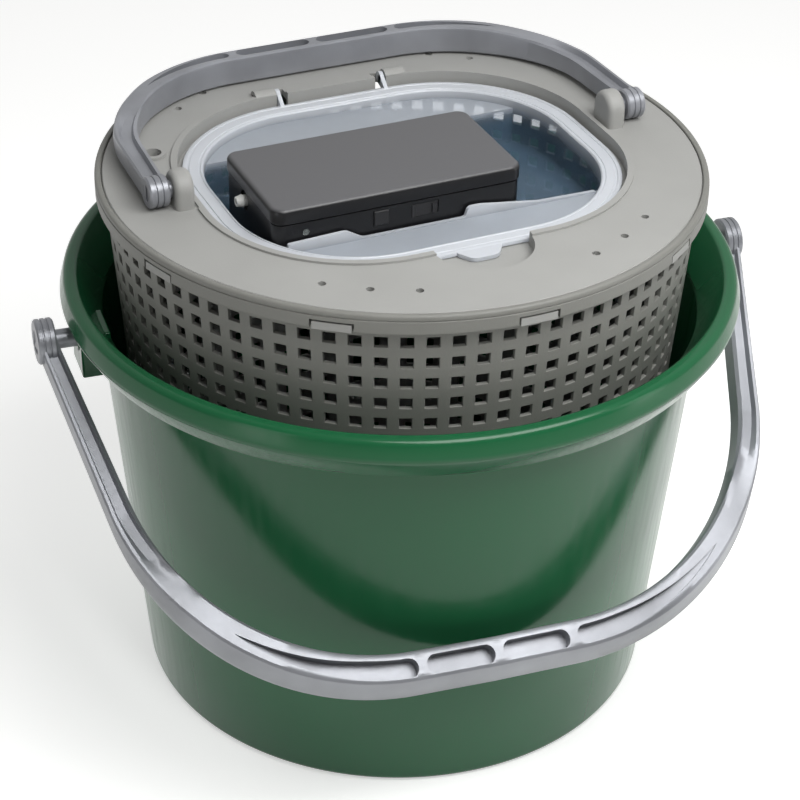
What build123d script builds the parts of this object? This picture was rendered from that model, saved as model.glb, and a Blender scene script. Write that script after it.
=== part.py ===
"""Aerated bait bucket: a bucket with a bail, a perforated insert basket with a lid and a
second bail, and a hatch in the lid whose sunk tray holds a battery air pump.

Millimetres. +Z is up and the origin is the centre of the bucket's foot. +X runs along the
insert handle's pivot axis. -Y is the front, where the hatch's finger tab is; the hatch's
hinge is at +Y. Every piece is modelled where it sits in the closed, packed-up bucket.
"""

from build123d import *
import math
import os

# ---------------------------------------------------------------- driving dimensions
# the basket's mouth, from which the collar, lid, bucket, rim, ears and bail take their reach
BASKET_TOP_RADIUS = 136.3
BASKET_TAPER = 18.8
COLLAR_REACH = 4.2
BASKET_GAP = 4.1

# bucket
BUCKET_HEIGHT = 216.0
BUCKET_WALL = 2.6
BUCKET_TAPER = 17.0
BUCKET_BASE_EDGE = 4.0
BUCKET_FLOOR_TOP = 5.0
BUCKET_FOOT_RISE = 2.0
BUCKET_FOOT_WIDTH = 11.0
RIM_REACH = 17.0
RIM_SKIRT_DROP = 20.4
RIM_SKIRT_TUCK = 6.7
RIM_CREST_WIDTH = 5.5

# bucket ears and bail
EAR_WIDTH = 22.0
EAR_INSET = 4.5
EAR_DROP = 12.0
EAR_HEIGHT = 22.5
EAR_SOCKET_DEPTH = 8.5
BUCKET_BAIL_YAW = -6.0
BUCKET_BAIL_GAP = 0.4
BUCKET_PIVOT_DROP = 18.0
BUCKET_BAIL_STANDOFF = 14.5
BUCKET_BAIL_HANG = 40.8
BUCKET_BAIL_SPREAD = 35.5
BUCKET_BAIL_CROWN = 1.5
BUCKET_BAIL_SHOULDER_RADIUS = 118.0
BUCKET_BAIL_GRIP_RADIUS = 700.0
BUCKET_BAIL_ARM = 8.6
BUCKET_BAIL_GRIP = 18.0
BUCKET_BAIL_ARM_THICKNESS = 12.6
BUCKET_BAIL_GRIP_THICKNESS = 16.0
BUCKET_BAIL_RIBS = (-36.0, 0.0, 36.0)
BUCKET_BAIL_POCKET_HALF = 116.0
BUCKET_PIN_RADIUS = 4.5

# bail details shared by both handles
EYE_RADIUS = 10.5
POCKET_EDGE = 2.6
POCKET_FLOOR = 3.0
POCKET_RIB = 3.2
PIN_CLEARANCE = 0.08
SEAT_GAP = 0.3

# basket
BASKET_WALL = 2.2
BASKET_FLOOR = 2.5
BASKET_EDGE = 5.0
COLLAR_BOTTOM_Z = 256.2
COLLAR_TOP_Z = 266.0
COLLAR_WALL = 3.0
COLLAR_LEDGE_WIDTH = 5.0
SNAP_COUNT = 10
SNAP_WINDOW_WIDTH = 19.0
SNAP_WINDOW_TOP_Z = 261.2
SNAP_CLEARANCE = 1.0
HOLE_COLUMNS = 78
HOLE_SECTORS = 13
HOLE_ROWS = 3
HOLE_WIDTH = 5.6
HOLE_HEIGHT = 5.0
HOLE_FIRST_Z = 250.4
HOLE_ROW_PITCH = 10.5
DRAIN_RADIUS = 2.5
DRAIN_RINGS = (32.0, 62.0, 92.0)
DRAIN_FIRST_COUNT = 8

# lid
LID_THICKNESS = 3.1
LID_CLEARANCE = 0.3
LID_TOP_Z = 265.5
RECESS_CLEARANCE = 2.0
RECESS_WALL = 2.2
LEDGE_TOP_Z = 259.6
LEDGE_THICKNESS = 2.2
LEDGE_WIDTH = 8.0
BEAD_WIDTH = 3.0
BEAD_HEIGHT = 1.1
FINGER_RECESS_RADIUS = 23.0
VENT_CIRCLE_RADIUS = 118.5
VENT_RADIUS = 1.8
VENT_ANGLES = (20.5, 30.5, 40.5)
HOSE_HOLE = (-104.0, 48.0)
HOSE_HOLE_RADIUS = 4.0
HOSE_COLLAR_WALL = 2.0
HOSE_COLLAR_HEIGHT = 1.5
BOSS_MARGIN = 9.8
BOSS_THICKNESS = 9.0
BOSS_RADIUS = 8.5

# insert bail
INSERT_PIVOT_Z = 273.2
INSERT_BAIL_STANDOFF = 11.1
INSERT_BAIL_DEPTH = 110.0
INSERT_BAIL_SPREAD = 4.6
INSERT_BAIL_CROWN = 0.6
INSERT_BAIL_SHOULDER_RADIUS = 74.0
INSERT_BAIL_GRIP_RADIUS = 1000.0
INSERT_BAIL_ARM = 9.4
INSERT_BAIL_GRIP = 13.5
INSERT_BAIL_ARM_THICKNESS = 10.0
INSERT_BAIL_GRIP_THICKNESS = 13.4
INSERT_BAIL_RIBS = (-42.0, 0.0, 42.0)
INSERT_BAIL_POCKET_HALF = 92.0
INSERT_EYE_RADIUS = 7.2
INSERT_PIN_RADIUS = 4.0

# hatch
HATCH_LENGTH = 195.4
HATCH_WIDTH = 164.2
HATCH_CORNER = 67.0
FLANGE_THICKNESS = 2.0
FLANGE_WIDTH = 8.0
PAN_WALL = 1.8
SHELF_TOP_Z = 257.5
TRAY_FLOOR_Z = 240.0
TRAY_FRONT_Y = -46.8
TRAY_BACK_Y = 45.0
FENCE_TOP_Z = 263.0
FENCE_HALF_LENGTH = 75.5
FENCE_NOTCH_WIDTH = 56.0
FENCE_NOTCH_STEP = 3.0
FINGER_TAB_WIDTH = 30.0
FINGER_TAB_REACH = 11.0
HINGE_Y = 88.0
HINGE_Z = 264.6
HINGE_LUG_X = 34.0
HINGE_LUG_LENGTH = 10.5
HINGE_LUG_RADIUS = 3.9
HINGE_PIN_RADIUS = 2.0
HINGE_TAB_LENGTH = 4.5
HINGE_TAB_RADIUS = 3.0

# air pump case
PUMP_END_MARGIN = 16.7
PUMP_Y = -14.5
PUMP_LENGTH = 120.0
PUMP_WIDTH = 63.0
PUMP_HEIGHT = 36.0
PUMP_CORNER = 6.0
PUMP_WALL = 2.2
PUMP_STEP = 0.6
PUMP_SPLIT = 28.5
PUMP_TOP_EDGE = 2.5
PUMP_BOTTOM_EDGE = 1.6
SEAL_THICKNESS = 0.8
SEAL_INSET = 0.6
FOOT_RADIUS = 4.0
FOOT_HEIGHT = 1.2
SCREW_INSET = 7.6
SCREW_RADIUS = 1.5
SCREW_HEAD_RADIUS = 2.9
SCREW_HEAD_HEIGHT = 1.8
SCREW_LENGTH = 31.5
SCREW_POST_RADIUS = 3.6

# pump controls, on the case's front
CONTROL_Z = 264.9
BUTTON_STEP = -9.4
BUTTON_SIZE = 7.0
BUTTON_TRAVEL = 0.6
BUTTON_PROUD = 0.8
BUTTON_FLANGE = 1.0
SOCKET_STEP = 12.2
COVER_WIDTH = 12.0
COVER_HEIGHT = 6.0
COVER_THICKNESS = 1.0
COVER_BEAD_RADIUS = 0.9
SOCKET_WIDTH = 9.0
SOCKET_HEIGHT = 3.2
SOCKET_DEPTH = 7.4
LENS_STEP = -45.0
LENS_RADIUS = 1.5

# pump works
CELL_RADIUS = 7.25
CELL_LENGTH = 50.0
CELL_COUNT = 3
CELL_PITCH = 15.6
CELL_STEP = 21.0
CELL_FIRST_Y = 4.2
HOLDER_BASE = 1.2
HOLDER_WALL = 1.3
CONTACT_THICKNESS = 0.5
BOARD_TOP_Z = 262.9
BOARD_THICKNESS = 1.6
BOARD_STEPS = (-14.5, 48.0)
BOARD_Y = (-41.0, 10.0)
MOTOR_STEP = -26.0
MOTOR_Z = 255.5
MOTOR_RADIUS = 10.0
MOTOR_Y = (-42.0, -18.0)
SHAFT_RADIUS = 1.0
WHEEL_RADIUS = 7.0
WHEEL_WIDTH = 4.6
CRANK_THROW = 1.2
CRANK_RADIUS = 1.3
LEVER_Y = -8.0
LEVER_THICKNESS = 3.0
LEVER_PIVOT_Z = 247.4
LEVER_PIN_RADIUS = 1.5
LEVER_HUB_RADIUS = 3.2
NOZZLE_Z = 265.0
NOZZLE_RADIUS = 2.6
NOZZLE_REACH = 4.0
VALVE_LENGTH = 11.5
VALVE_WIDTH = 19.0
VALVE_TOP_Z = 274.5
DIAPHRAGM_RADIUS = 8.5
DIAPHRAGM_CUP_RADIUS = 6.0
FILTER_RADIUS = 5.0
FILTER_HEIGHT = 2.0

# ---------------------------------------------------------------- worked-out places
COLLAR_RADIUS = BASKET_TOP_RADIUS + COLLAR_REACH
BASKET_BASE_RADIUS = BASKET_TOP_RADIUS - BASKET_TAPER
BUCKET_NECK_RADIUS = BASKET_TOP_RADIUS + BASKET_GAP + BUCKET_WALL
BUCKET_BASE_RADIUS = BUCKET_NECK_RADIUS - BUCKET_TAPER
RIM_RADIUS = BUCKET_NECK_RADIUS + RIM_REACH
RIM_SKIRT_Z = BUCKET_HEIGHT - RIM_SKIRT_DROP
NECK_Z = RIM_SKIRT_Z + 1.4
EAR_TOP_Z = BUCKET_HEIGHT - EAR_DROP
EAR_BOTTOM_Z = EAR_TOP_Z - EAR_HEIGHT
BUCKET_PIVOT_Z = BUCKET_HEIGHT - BUCKET_PIVOT_DROP
EAR_FACE_X = RIM_RADIUS - EAR_INSET
EAR_SOCKET_X = EAR_FACE_X - EAR_SOCKET_DEPTH
BUCKET_BAIL_HALF_SPAN = EAR_FACE_X + BUCKET_BAIL_STANDOFF
BUCKET_BAIL_DEPTH = BUCKET_NECK_RADIUS + BUCKET_BAIL_HANG
BOSS_X = HATCH_LENGTH / 2 + BOSS_MARGIN
INSERT_BAIL_HALF_SPAN = BOSS_X + INSERT_BAIL_STANDOFF
BASKET_BOTTOM_Z = BUCKET_FLOOR_TOP + SEAT_GAP
LEDGE_Z = LID_TOP_Z - LID_THICKNESS
PUMP_X = PUMP_LENGTH / 2 + PUMP_END_MARGIN - HATCH_LENGTH / 2
BUTTON_X = PUMP_X + BUTTON_STEP
SOCKET_X = PUMP_X + SOCKET_STEP
LENS_X = PUMP_X + LENS_STEP
CELL_MID_X = PUMP_X + CELL_STEP
BOARD_X = tuple(PUMP_X + step for step in BOARD_STEPS)
MOTOR_X = PUMP_X + MOTOR_STEP
FLANGE_BOTTOM_Z = LEDGE_TOP_Z + SEAT_GAP
FLANGE_TOP_Z = FLANGE_BOTTOM_Z + FLANGE_THICKNESS
PUMP_BOTTOM_Z = TRAY_FLOOR_Z + SEAT_GAP + FOOT_HEIGHT
PUMP_TOP_Z = PUMP_BOTTOM_Z + PUMP_HEIGHT
PUMP_FLOOR_Z = PUMP_BOTTOM_Z + PUMP_WALL
SEAL_BOTTOM_Z = PUMP_BOTTOM_Z + PUMP_SPLIT - SEAL_THICKNESS / 2
SEAL_TOP_Z = SEAL_BOTTOM_Z + SEAL_THICKNESS
CASE_LENGTH = PUMP_LENGTH - 2 * PUMP_STEP
CASE_WIDTH = PUMP_WIDTH - 2 * PUMP_STEP
FRONT_FACE_Y = PUMP_Y - CASE_WIDTH / 2
FRONT_INNER_Y = FRONT_FACE_Y + PUMP_WALL
LEFT_FACE_X = PUMP_X - CASE_LENGTH / 2
LEFT_INNER_X = LEFT_FACE_X + PUMP_WALL
WHEEL_Y = MOTOR_Y[1] + 0.8
CRANK_X = MOTOR_X - CRANK_THROW
BOARD_BOTTOM_Z = BOARD_TOP_Z - BOARD_THICKNESS
CELL_Z = PUMP_FLOOR_Z + HOLDER_BASE + CELL_RADIUS + 0.05
VALVE_X = LEFT_INNER_X + 0.2


# ---------------------------------------------------------------- small makers
def block(x, y, z):
    """A box between the low and high values of each axis."""
    size = Box(x[1] - x[0], y[1] - y[0], z[1] - z[0])
    return Pos((x[0] + x[1]) / 2, (y[0] + y[1]) / 2, (z[0] + z[1]) / 2) * size


def slab(length, width, corner, z, x=0.0, y=0.0):
    """A rounded rectangle extruded from z[0] to z[1]."""
    return Pos(x, y, z[0]) * extrude(RectangleRounded(length, width, corner), z[1] - z[0])


def rod_z(radius, x, y, z):
    """A cylinder along Z from z[0] to z[1]."""
    return Pos(x, y, (z[0] + z[1]) / 2) * Cylinder(radius, z[1] - z[0])


def rod_y(radius, x, z, y):
    """A cylinder along Y from y[0] to y[1]."""
    return Pos(x, (y[0] + y[1]) / 2, z) * Rot(90, 0, 0) * Cylinder(radius, y[1] - y[0])


def rod_x(radius, y, z, x):
    """A cylinder along X from x[0] to x[1]."""
    return Pos((x[0] + x[1]) / 2, y, z) * Rot(0, 90, 0) * Cylinder(radius, x[1] - x[0])


def turned(outline, radii):
    """A solid of revolution about Z from a closed (radius, z) outline with rounded corners."""
    points = [(r, 0, z) for r, z in outline]
    edge = FilletPolyline(*points, radius=radii, close=True)
    return revolve(make_face(edge), Axis.Z)


def spun(angle, solid):
    """The solid turned about Z by an angle measured from the front, -Y."""
    return Rot(0, 0, angle) * solid


# ---------------------------------------------------------------- bail handles
def bail_edge(spec, side, inset=0.0):
    """One edge of the bail's band: side is 1 for the outer edge and -1 for the inner one."""
    arm = side * (spec["arm"] / 2 - inset)
    grip = side * (spec["grip"] / 2 - inset)
    shoulder_x = spec["shoulder"][0] + arm * 1.2
    shoulder_y = spec["shoulder"][1] + grip
    half = spec["half_span"] + arm
    corner = spec["shoulder_radius"] + side * spec["arm"] / 2
    return FilletPolyline(
        (half, 0),
        (shoulder_x, shoulder_y),
        (0, spec["depth"] + grip),
        (-shoulder_x, shoulder_y),
        (-half, 0),
        radius=[corner, spec["grip_radius"], corner],
    )


def bail_band(spec, inset=0.0):
    """The flat face between the bail's inner and outer edges."""
    outer = bail_edge(spec, 1, inset)
    inner = bail_edge(spec, -1, inset)
    right = Line(outer @ 0, inner @ 0)
    left = Line(outer @ 1, inner @ 1)
    return make_face([outer, right, inner, left])


def make_bail(spec):
    """A bail with its pivots on X, its grip towards +Y and its pockets open to +Z."""
    arm_half = spec["arm_thickness"] / 2
    grip_half = spec["grip_thickness"] / 2
    depth = spec["depth"]
    beyond = depth + 2 * spec["grip"]
    band = Pos(0, 0, -grip_half) * extrude(bail_band(spec), 2 * grip_half)
    swell = [
        (-2 * arm_half, -arm_half),
        (depth * 0.50, -arm_half),
        (depth * 0.86, -grip_half),
        (beyond, -grip_half),
        (beyond, grip_half),
        (depth * 0.86, grip_half),
        (depth * 0.50, arm_half),
        (-2 * arm_half, arm_half),
    ]
    side_face = make_face(Polyline([(0, y, z) for y, z in swell], close=True))
    reach = spec["half_span"] * 1.2
    bail = band & extrude(side_face, reach, both=True)
    pocket = extrude(bail_band(spec, POCKET_EDGE), 2 * grip_half)
    pocket = Pos(0, 0, POCKET_FLOOR - grip_half) * pocket
    pocket &= block((-spec["pocket_half"], spec["pocket_half"]), (0, beyond), (-beyond, beyond))
    for x in spec["ribs"]:
        pocket -= block((x - POCKET_RIB / 2, x + POCKET_RIB / 2), (0, beyond), (-beyond, beyond))
    bail -= pocket
    half = spec["half_span"]
    for side in (-1, 1):
        eye = sorted((side * (half - spec["arm"] / 2), side * (half + spec["arm"] / 2)))
        pin = sorted((side * spec["pin_tip"], side * (half - spec["arm"] / 2 + 1)))
        bail += rod_x(spec["eye_radius"], 0, 0, eye)
        bail += rod_x(spec["pin_radius"], 0, 0, pin)
    return bail


BUCKET_BAIL = {
    "half_span": BUCKET_BAIL_HALF_SPAN,
    "depth": BUCKET_BAIL_DEPTH,
    "shoulder": (BUCKET_BAIL_HALF_SPAN - BUCKET_BAIL_SPREAD, BUCKET_BAIL_DEPTH - BUCKET_BAIL_CROWN),
    "shoulder_radius": BUCKET_BAIL_SHOULDER_RADIUS,
    "grip_radius": BUCKET_BAIL_GRIP_RADIUS,
    "arm": BUCKET_BAIL_ARM,
    "grip": BUCKET_BAIL_GRIP,
    "arm_thickness": BUCKET_BAIL_ARM_THICKNESS,
    "grip_thickness": BUCKET_BAIL_GRIP_THICKNESS,
    "ribs": BUCKET_BAIL_RIBS,
    "pocket_half": BUCKET_BAIL_POCKET_HALF,
    "eye_radius": EYE_RADIUS,
    "pin_radius": BUCKET_PIN_RADIUS,
    "pin_tip": EAR_SOCKET_X + SEAT_GAP,
}

INSERT_BAIL = {
    "half_span": INSERT_BAIL_HALF_SPAN,
    "depth": INSERT_BAIL_DEPTH,
    "shoulder": (INSERT_BAIL_HALF_SPAN - INSERT_BAIL_SPREAD, INSERT_BAIL_DEPTH - INSERT_BAIL_CROWN),
    "shoulder_radius": INSERT_BAIL_SHOULDER_RADIUS,
    "grip_radius": INSERT_BAIL_GRIP_RADIUS,
    "arm": INSERT_BAIL_ARM,
    "grip": INSERT_BAIL_GRIP,
    "arm_thickness": INSERT_BAIL_ARM_THICKNESS,
    "grip_thickness": INSERT_BAIL_GRIP_THICKNESS,
    "ribs": INSERT_BAIL_RIBS,
    "pocket_half": INSERT_BAIL_POCKET_HALF,
    "eye_radius": INSERT_EYE_RADIUS,
    "pin_radius": INSERT_PIN_RADIUS,
    "pin_tip": BOSS_X - BOSS_THICKNESS / 2,
}


def resting_lean():
    """Degrees from straight down at which the grip's inner corner comes to the tapered wall."""
    taper = BUCKET_TAPER / NECK_Z
    reach = BUCKET_BAIL_DEPTH - BUCKET_BAIL_GRIP / 2
    half = BUCKET_BAIL_GRIP_THICKNESS / 2
    along = reach + taper * half
    across = taper * reach - half
    wall = BUCKET_BASE_RADIUS + taper * BUCKET_PIVOT_Z + BUCKET_BAIL_GAP
    return math.degrees(math.asin(wall / math.hypot(along, across)) - math.atan2(across, along))


def make_bucket_handle():
    """The bucket's bail hangs forward until its grip leans on the bucket's wall."""
    bail = Rot(0, 180, 0) * make_bail(BUCKET_BAIL)
    lean = Rot(-90 - resting_lean(), 0, 0)
    return Rot(0, 0, BUCKET_BAIL_YAW) * Pos(0, 0, BUCKET_PIVOT_Z) * lean * bail


def make_insert_handle():
    """The insert's bail lies back flat over the lid."""
    return Pos(0, 0, INSERT_PIVOT_Z) * make_bail(INSERT_BAIL)


# ---------------------------------------------------------------- bucket
def make_bucket():
    """Tapered wall, flared mouth, rolled rim with a hollow skirt, raised foot, two ears."""
    foot = BUCKET_BASE_RADIUS - BUCKET_FOOT_WIDTH
    neck = BUCKET_NECK_RADIUS
    wall = BUCKET_WALL
    skirt = RIM_RADIUS - RIM_SKIRT_TUCK
    mouth = RIM_RADIUS - RIM_CREST_WIDTH - wall
    outline = [
        (0, BUCKET_FOOT_RISE),
        (foot - BUCKET_FOOT_RISE, BUCKET_FOOT_RISE),
        (foot, 0),
        (BUCKET_BASE_RADIUS, 0),
        (neck, NECK_Z),
        (mouth + 1.9, BUCKET_HEIGHT - 3.9),
        (RIM_RADIUS - 4.6, BUCKET_HEIGHT - 3.9),
        (RIM_RADIUS - wall - 0.2, BUCKET_HEIGHT - 9.8),
        (skirt - wall, RIM_SKIRT_Z + 1.0),
        (skirt, RIM_SKIRT_Z),
        (RIM_RADIUS, BUCKET_HEIGHT - 9.5),
        (RIM_RADIUS - wall, BUCKET_HEIGHT),
        (mouth, BUCKET_HEIGHT),
        (neck - wall, RIM_SKIRT_Z + 1.9),
        (BUCKET_BASE_RADIUS - wall, BUCKET_FLOOR_TOP),
        (0, BUCKET_FLOOR_TOP),
    ]
    edge = BUCKET_BASE_EDGE
    radii = [0, 1, 1, edge, 4, 1, 0.8, 2, 0.5, 0.5, 4, 3.5, 2.5, 6, edge - wall, 0]
    bucket = turned(outline, radii)
    sole = neck - wall + 1
    for side in (-1, 1):
        ear_x = sorted((side * sole, side * EAR_FACE_X))
        socket_x = sorted((side * EAR_SOCKET_X, side * (RIM_RADIUS + 5)))
        ear = block(ear_x, (-EAR_WIDTH / 2, EAR_WIDTH / 2), (EAR_BOTTOM_Z, EAR_TOP_Z))
        socket = rod_x(BUCKET_PIN_RADIUS + PIN_CLEARANCE, 0, BUCKET_PIVOT_Z, socket_x)
        bucket += spun(BUCKET_BAIL_YAW, ear)
        bucket -= spun(BUCKET_BAIL_YAW, socket)
    return bucket


# ---------------------------------------------------------------- basket
def basket_radius(z):
    """The basket wall's outer radius at a height."""
    share = (z - BASKET_BOTTOM_Z) / (COLLAR_BOTTOM_Z - BASKET_BOTTOM_Z)
    return BASKET_BASE_RADIUS + (BASKET_TOP_RADIUS - BASKET_BASE_RADIUS) * share


def make_basket_screen(low, high):
    """The perforated band of the wall, made as equal sectors that are then joined."""
    arc = 360 / HOLE_SECTORS
    columns = HOLE_COLUMNS // HOLE_SECTORS
    outline = [
        (basket_radius(low), 0, low),
        (basket_radius(high), 0, high),
        (basket_radius(high) - BASKET_WALL, 0, high),
        (basket_radius(low) - BASKET_WALL, 0, low),
    ]
    sector = revolve(make_face(Polyline(outline, close=True)), Axis.Z, arc)
    hole = Box(4 * BASKET_WALL, HOLE_WIDTH, HOLE_HEIGHT)
    for row in range(HOLE_ROWS):
        z = HOLE_FIRST_Z - row * HOLE_ROW_PITCH
        place = Pos(basket_radius(z) - BASKET_WALL / 2, 0, z)
        sector -= [Rot(0, 0, (k + 0.5) * arc / columns) * place * hole for k in range(columns)]
    first = -90 - arc / columns / 2
    sectors = [Rot(0, 0, first + k * arc) * sector for k in range(HOLE_SECTORS)]
    return sectors


def make_basket():
    """Floor with drain holes, perforated wall, collar with a lid ledge and snap windows."""
    low = HOLE_FIRST_Z - HOLE_ROWS * HOLE_ROW_PITCH + HOLE_ROW_PITCH / 2
    high = HOLE_FIRST_Z + HOLE_ROW_PITCH / 2 - 2
    inner = COLLAR_RADIUS - COLLAR_WALL
    pan_outline = [
        (0, BASKET_BOTTOM_Z),
        (BASKET_BASE_RADIUS, BASKET_BOTTOM_Z),
        (basket_radius(low), low),
        (basket_radius(low) - BASKET_WALL, low),
        (BASKET_BASE_RADIUS - BASKET_WALL, BASKET_BOTTOM_Z + BASKET_FLOOR),
        (0, BASKET_BOTTOM_Z + BASKET_FLOOR),
    ]
    pan = turned(pan_outline, [0, BASKET_EDGE, 0, 0, BASKET_EDGE - BASKET_WALL, 0])
    for place, ring in enumerate(DRAIN_RINGS):
        count = DRAIN_FIRST_COUNT * (place + 1)
        drain = rod_z(DRAIN_RADIUS, 0, -ring, (0, BASKET_BOTTOM_Z + 2 * BASKET_FLOOR))
        pan -= [spun(k * 360 / count, drain) for k in range(count)]
    collar_outline = [
        (basket_radius(high), high),
        (basket_radius(COLLAR_BOTTOM_Z), COLLAR_BOTTOM_Z),
        (COLLAR_RADIUS, COLLAR_BOTTOM_Z),
        (COLLAR_RADIUS, COLLAR_TOP_Z),
        (inner, COLLAR_TOP_Z),
        (inner, LEDGE_Z - 0.1),
        (inner - COLLAR_LEDGE_WIDTH, LEDGE_Z - 0.1),
        (basket_radius(COLLAR_BOTTOM_Z) - BASKET_WALL, COLLAR_BOTTOM_Z + 1),
        (basket_radius(high) - BASKET_WALL, high),
    ]
    collar = turned(collar_outline, [0, 0.5, 1, 1.2, 0.6, 0, 0, 0, 0])
    window = block(
        (-SNAP_WINDOW_WIDTH / 2, SNAP_WINDOW_WIDTH / 2),
        (-COLLAR_RADIUS - 2, -inner + COLLAR_LEDGE_WIDTH + 2),
        (COLLAR_BOTTOM_Z - 0.3, SNAP_WINDOW_TOP_Z),
    )
    collar -= [spun(k * 360 / SNAP_COUNT, window) for k in range(SNAP_COUNT)]
    screen = make_basket_screen(low, high)
    return screen[0].fuse(*screen[1:], pan, collar)


# ---------------------------------------------------------------- lid
def make_lid():
    """Disc with the hatch's recess, hinge lugs, handle bosses, vents and snap hooks."""
    length = HATCH_LENGTH + 2 * RECESS_CLEARANCE
    width = HATCH_WIDTH + 2 * RECESS_CLEARANCE
    corner = HATCH_CORNER + RECESS_CLEARANCE
    ledge_bottom = LEDGE_TOP_Z - LEDGE_THICKNESS
    disc_radius = COLLAR_RADIUS - COLLAR_WALL - LID_CLEARANCE
    lid = rod_z(disc_radius, 0, 0, (LEDGE_Z, LID_TOP_Z))
    lid = chamfer(lid.edges().group_by(Axis.Z)[-1], 0.5)
    wall = 2 * RECESS_WALL
    bead = 2 * BEAD_WIDTH
    half_moon = rod_z(FINGER_RECESS_RADIUS, 0, -width / 2, (LEDGE_TOP_Z, LID_TOP_Z + 3))
    moon_cup = rod_z(FINGER_RECESS_RADIUS + RECESS_WALL, 0, -width / 2, (ledge_bottom, LID_TOP_Z))
    lid += slab(length + wall, width + wall, corner + RECESS_WALL, (ledge_bottom, LID_TOP_Z))
    lid += slab(length + bead, width + bead, corner + BEAD_WIDTH, (LEDGE_Z, LID_TOP_Z + BEAD_HEIGHT))
    lid += moon_cup
    lid -= slab(length, width, corner, (LEDGE_TOP_Z, LID_TOP_Z + 3))
    lid -= half_moon
    opening = (length - 2 * LEDGE_WIDTH, width - 2 * LEDGE_WIDTH, corner - LEDGE_WIDTH)
    lid -= slab(*opening, (ledge_bottom - 1, LID_TOP_Z + 3))
    return add_lid_fittings(lid, width / 2)


def add_lid_fittings(lid, recess_half):
    """Vents, hose hole, handle bosses, hinge lugs with tab slots, and the snap hooks."""
    vent = rod_z(VENT_RADIUS, 0, -VENT_CIRCLE_RADIUS, (LEDGE_Z - 1, LID_TOP_Z + 1))
    for angle in VENT_ANGLES:
        lid -= [spun(turn, vent) for turn in (angle, -angle, 180 + angle, 180 - angle)]
    collar_top = LID_TOP_Z + HOSE_COLLAR_HEIGHT
    lid += rod_z(HOSE_HOLE_RADIUS + HOSE_COLLAR_WALL, *HOSE_HOLE, (LEDGE_Z, collar_top))
    lid -= rod_z(HOSE_HOLE_RADIUS, *HOSE_HOLE, (LEDGE_Z - 1, collar_top + 1))
    for side in (-1, 1):
        boss_x = sorted(side * (BOSS_X + end * BOSS_THICKNESS / 2) for end in (-1, 1))
        lid += block(boss_x, (-BOSS_RADIUS, BOSS_RADIUS), (LEDGE_Z, INSERT_PIVOT_Z))
        lid += rod_x(BOSS_RADIUS, 0, INSERT_PIVOT_Z, boss_x)
        bore_x = (boss_x[0] - 1, boss_x[1] + 1)
        lid -= rod_x(INSERT_PIN_RADIUS + PIN_CLEARANCE, 0, INSERT_PIVOT_Z, bore_x)
        inner = HINGE_LUG_X - HINGE_LUG_LENGTH / 2
        lug_x = sorted((side * inner, side * (inner + HINGE_LUG_LENGTH)))
        slot_x = sorted((side * inner, side * (inner - HINGE_TAB_LENGTH - 1.2)))
        lug_front = HINGE_Y - HINGE_LUG_RADIUS
        lug_y = (lug_front, HINGE_Y + HINGE_LUG_RADIUS)
        lid += block(lug_x, lug_y, (LEDGE_TOP_Z, HINGE_Z))
        lid += rod_x(HINGE_LUG_RADIUS, HINGE_Y, HINGE_Z, lug_x)
        slot_y = (recess_half - 3, HINGE_Y + HINGE_TAB_RADIUS + 0.8)
        slot_z = (HINGE_Z - HINGE_TAB_RADIUS - 2, LID_TOP_Z + 5)
        lid -= block(slot_x, slot_y, slot_z)
        pin_x = (lug_x[0] - 0.6, lug_x[1] + 0.1) if side > 0 else (lug_x[0] - 0.1, lug_x[1] + 0.6)
        lid -= rod_x(HINGE_PIN_RADIUS + PIN_CLEARANCE, HINGE_Y, HINGE_Z, pin_x)
    return add_snap_hooks(lid)


def add_snap_hooks(lid):
    """Hooks that reach down inside the basket's ledge and out into its snap windows."""
    half = SNAP_WINDOW_WIDTH / 2 - SNAP_CLEARANCE
    ledge_radius = COLLAR_RADIUS - COLLAR_WALL - COLLAR_LEDGE_WIDTH
    leg_face = -ledge_radius + 0.8
    low = COLLAR_BOTTOM_Z + 0.4
    leg = block((-half, half), (leg_face, leg_face + 2.4), (low, LEDGE_Z + 0.5))
    nose = block((-half, half), (-COLLAR_RADIUS + 0.4, leg_face + 1), (low, SNAP_WINDOW_TOP_Z - SNAP_CLEARANCE))
    for k in range(SNAP_COUNT):
        lid += spun(k * 360 / SNAP_COUNT, leg + nose)
    return lid


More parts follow.
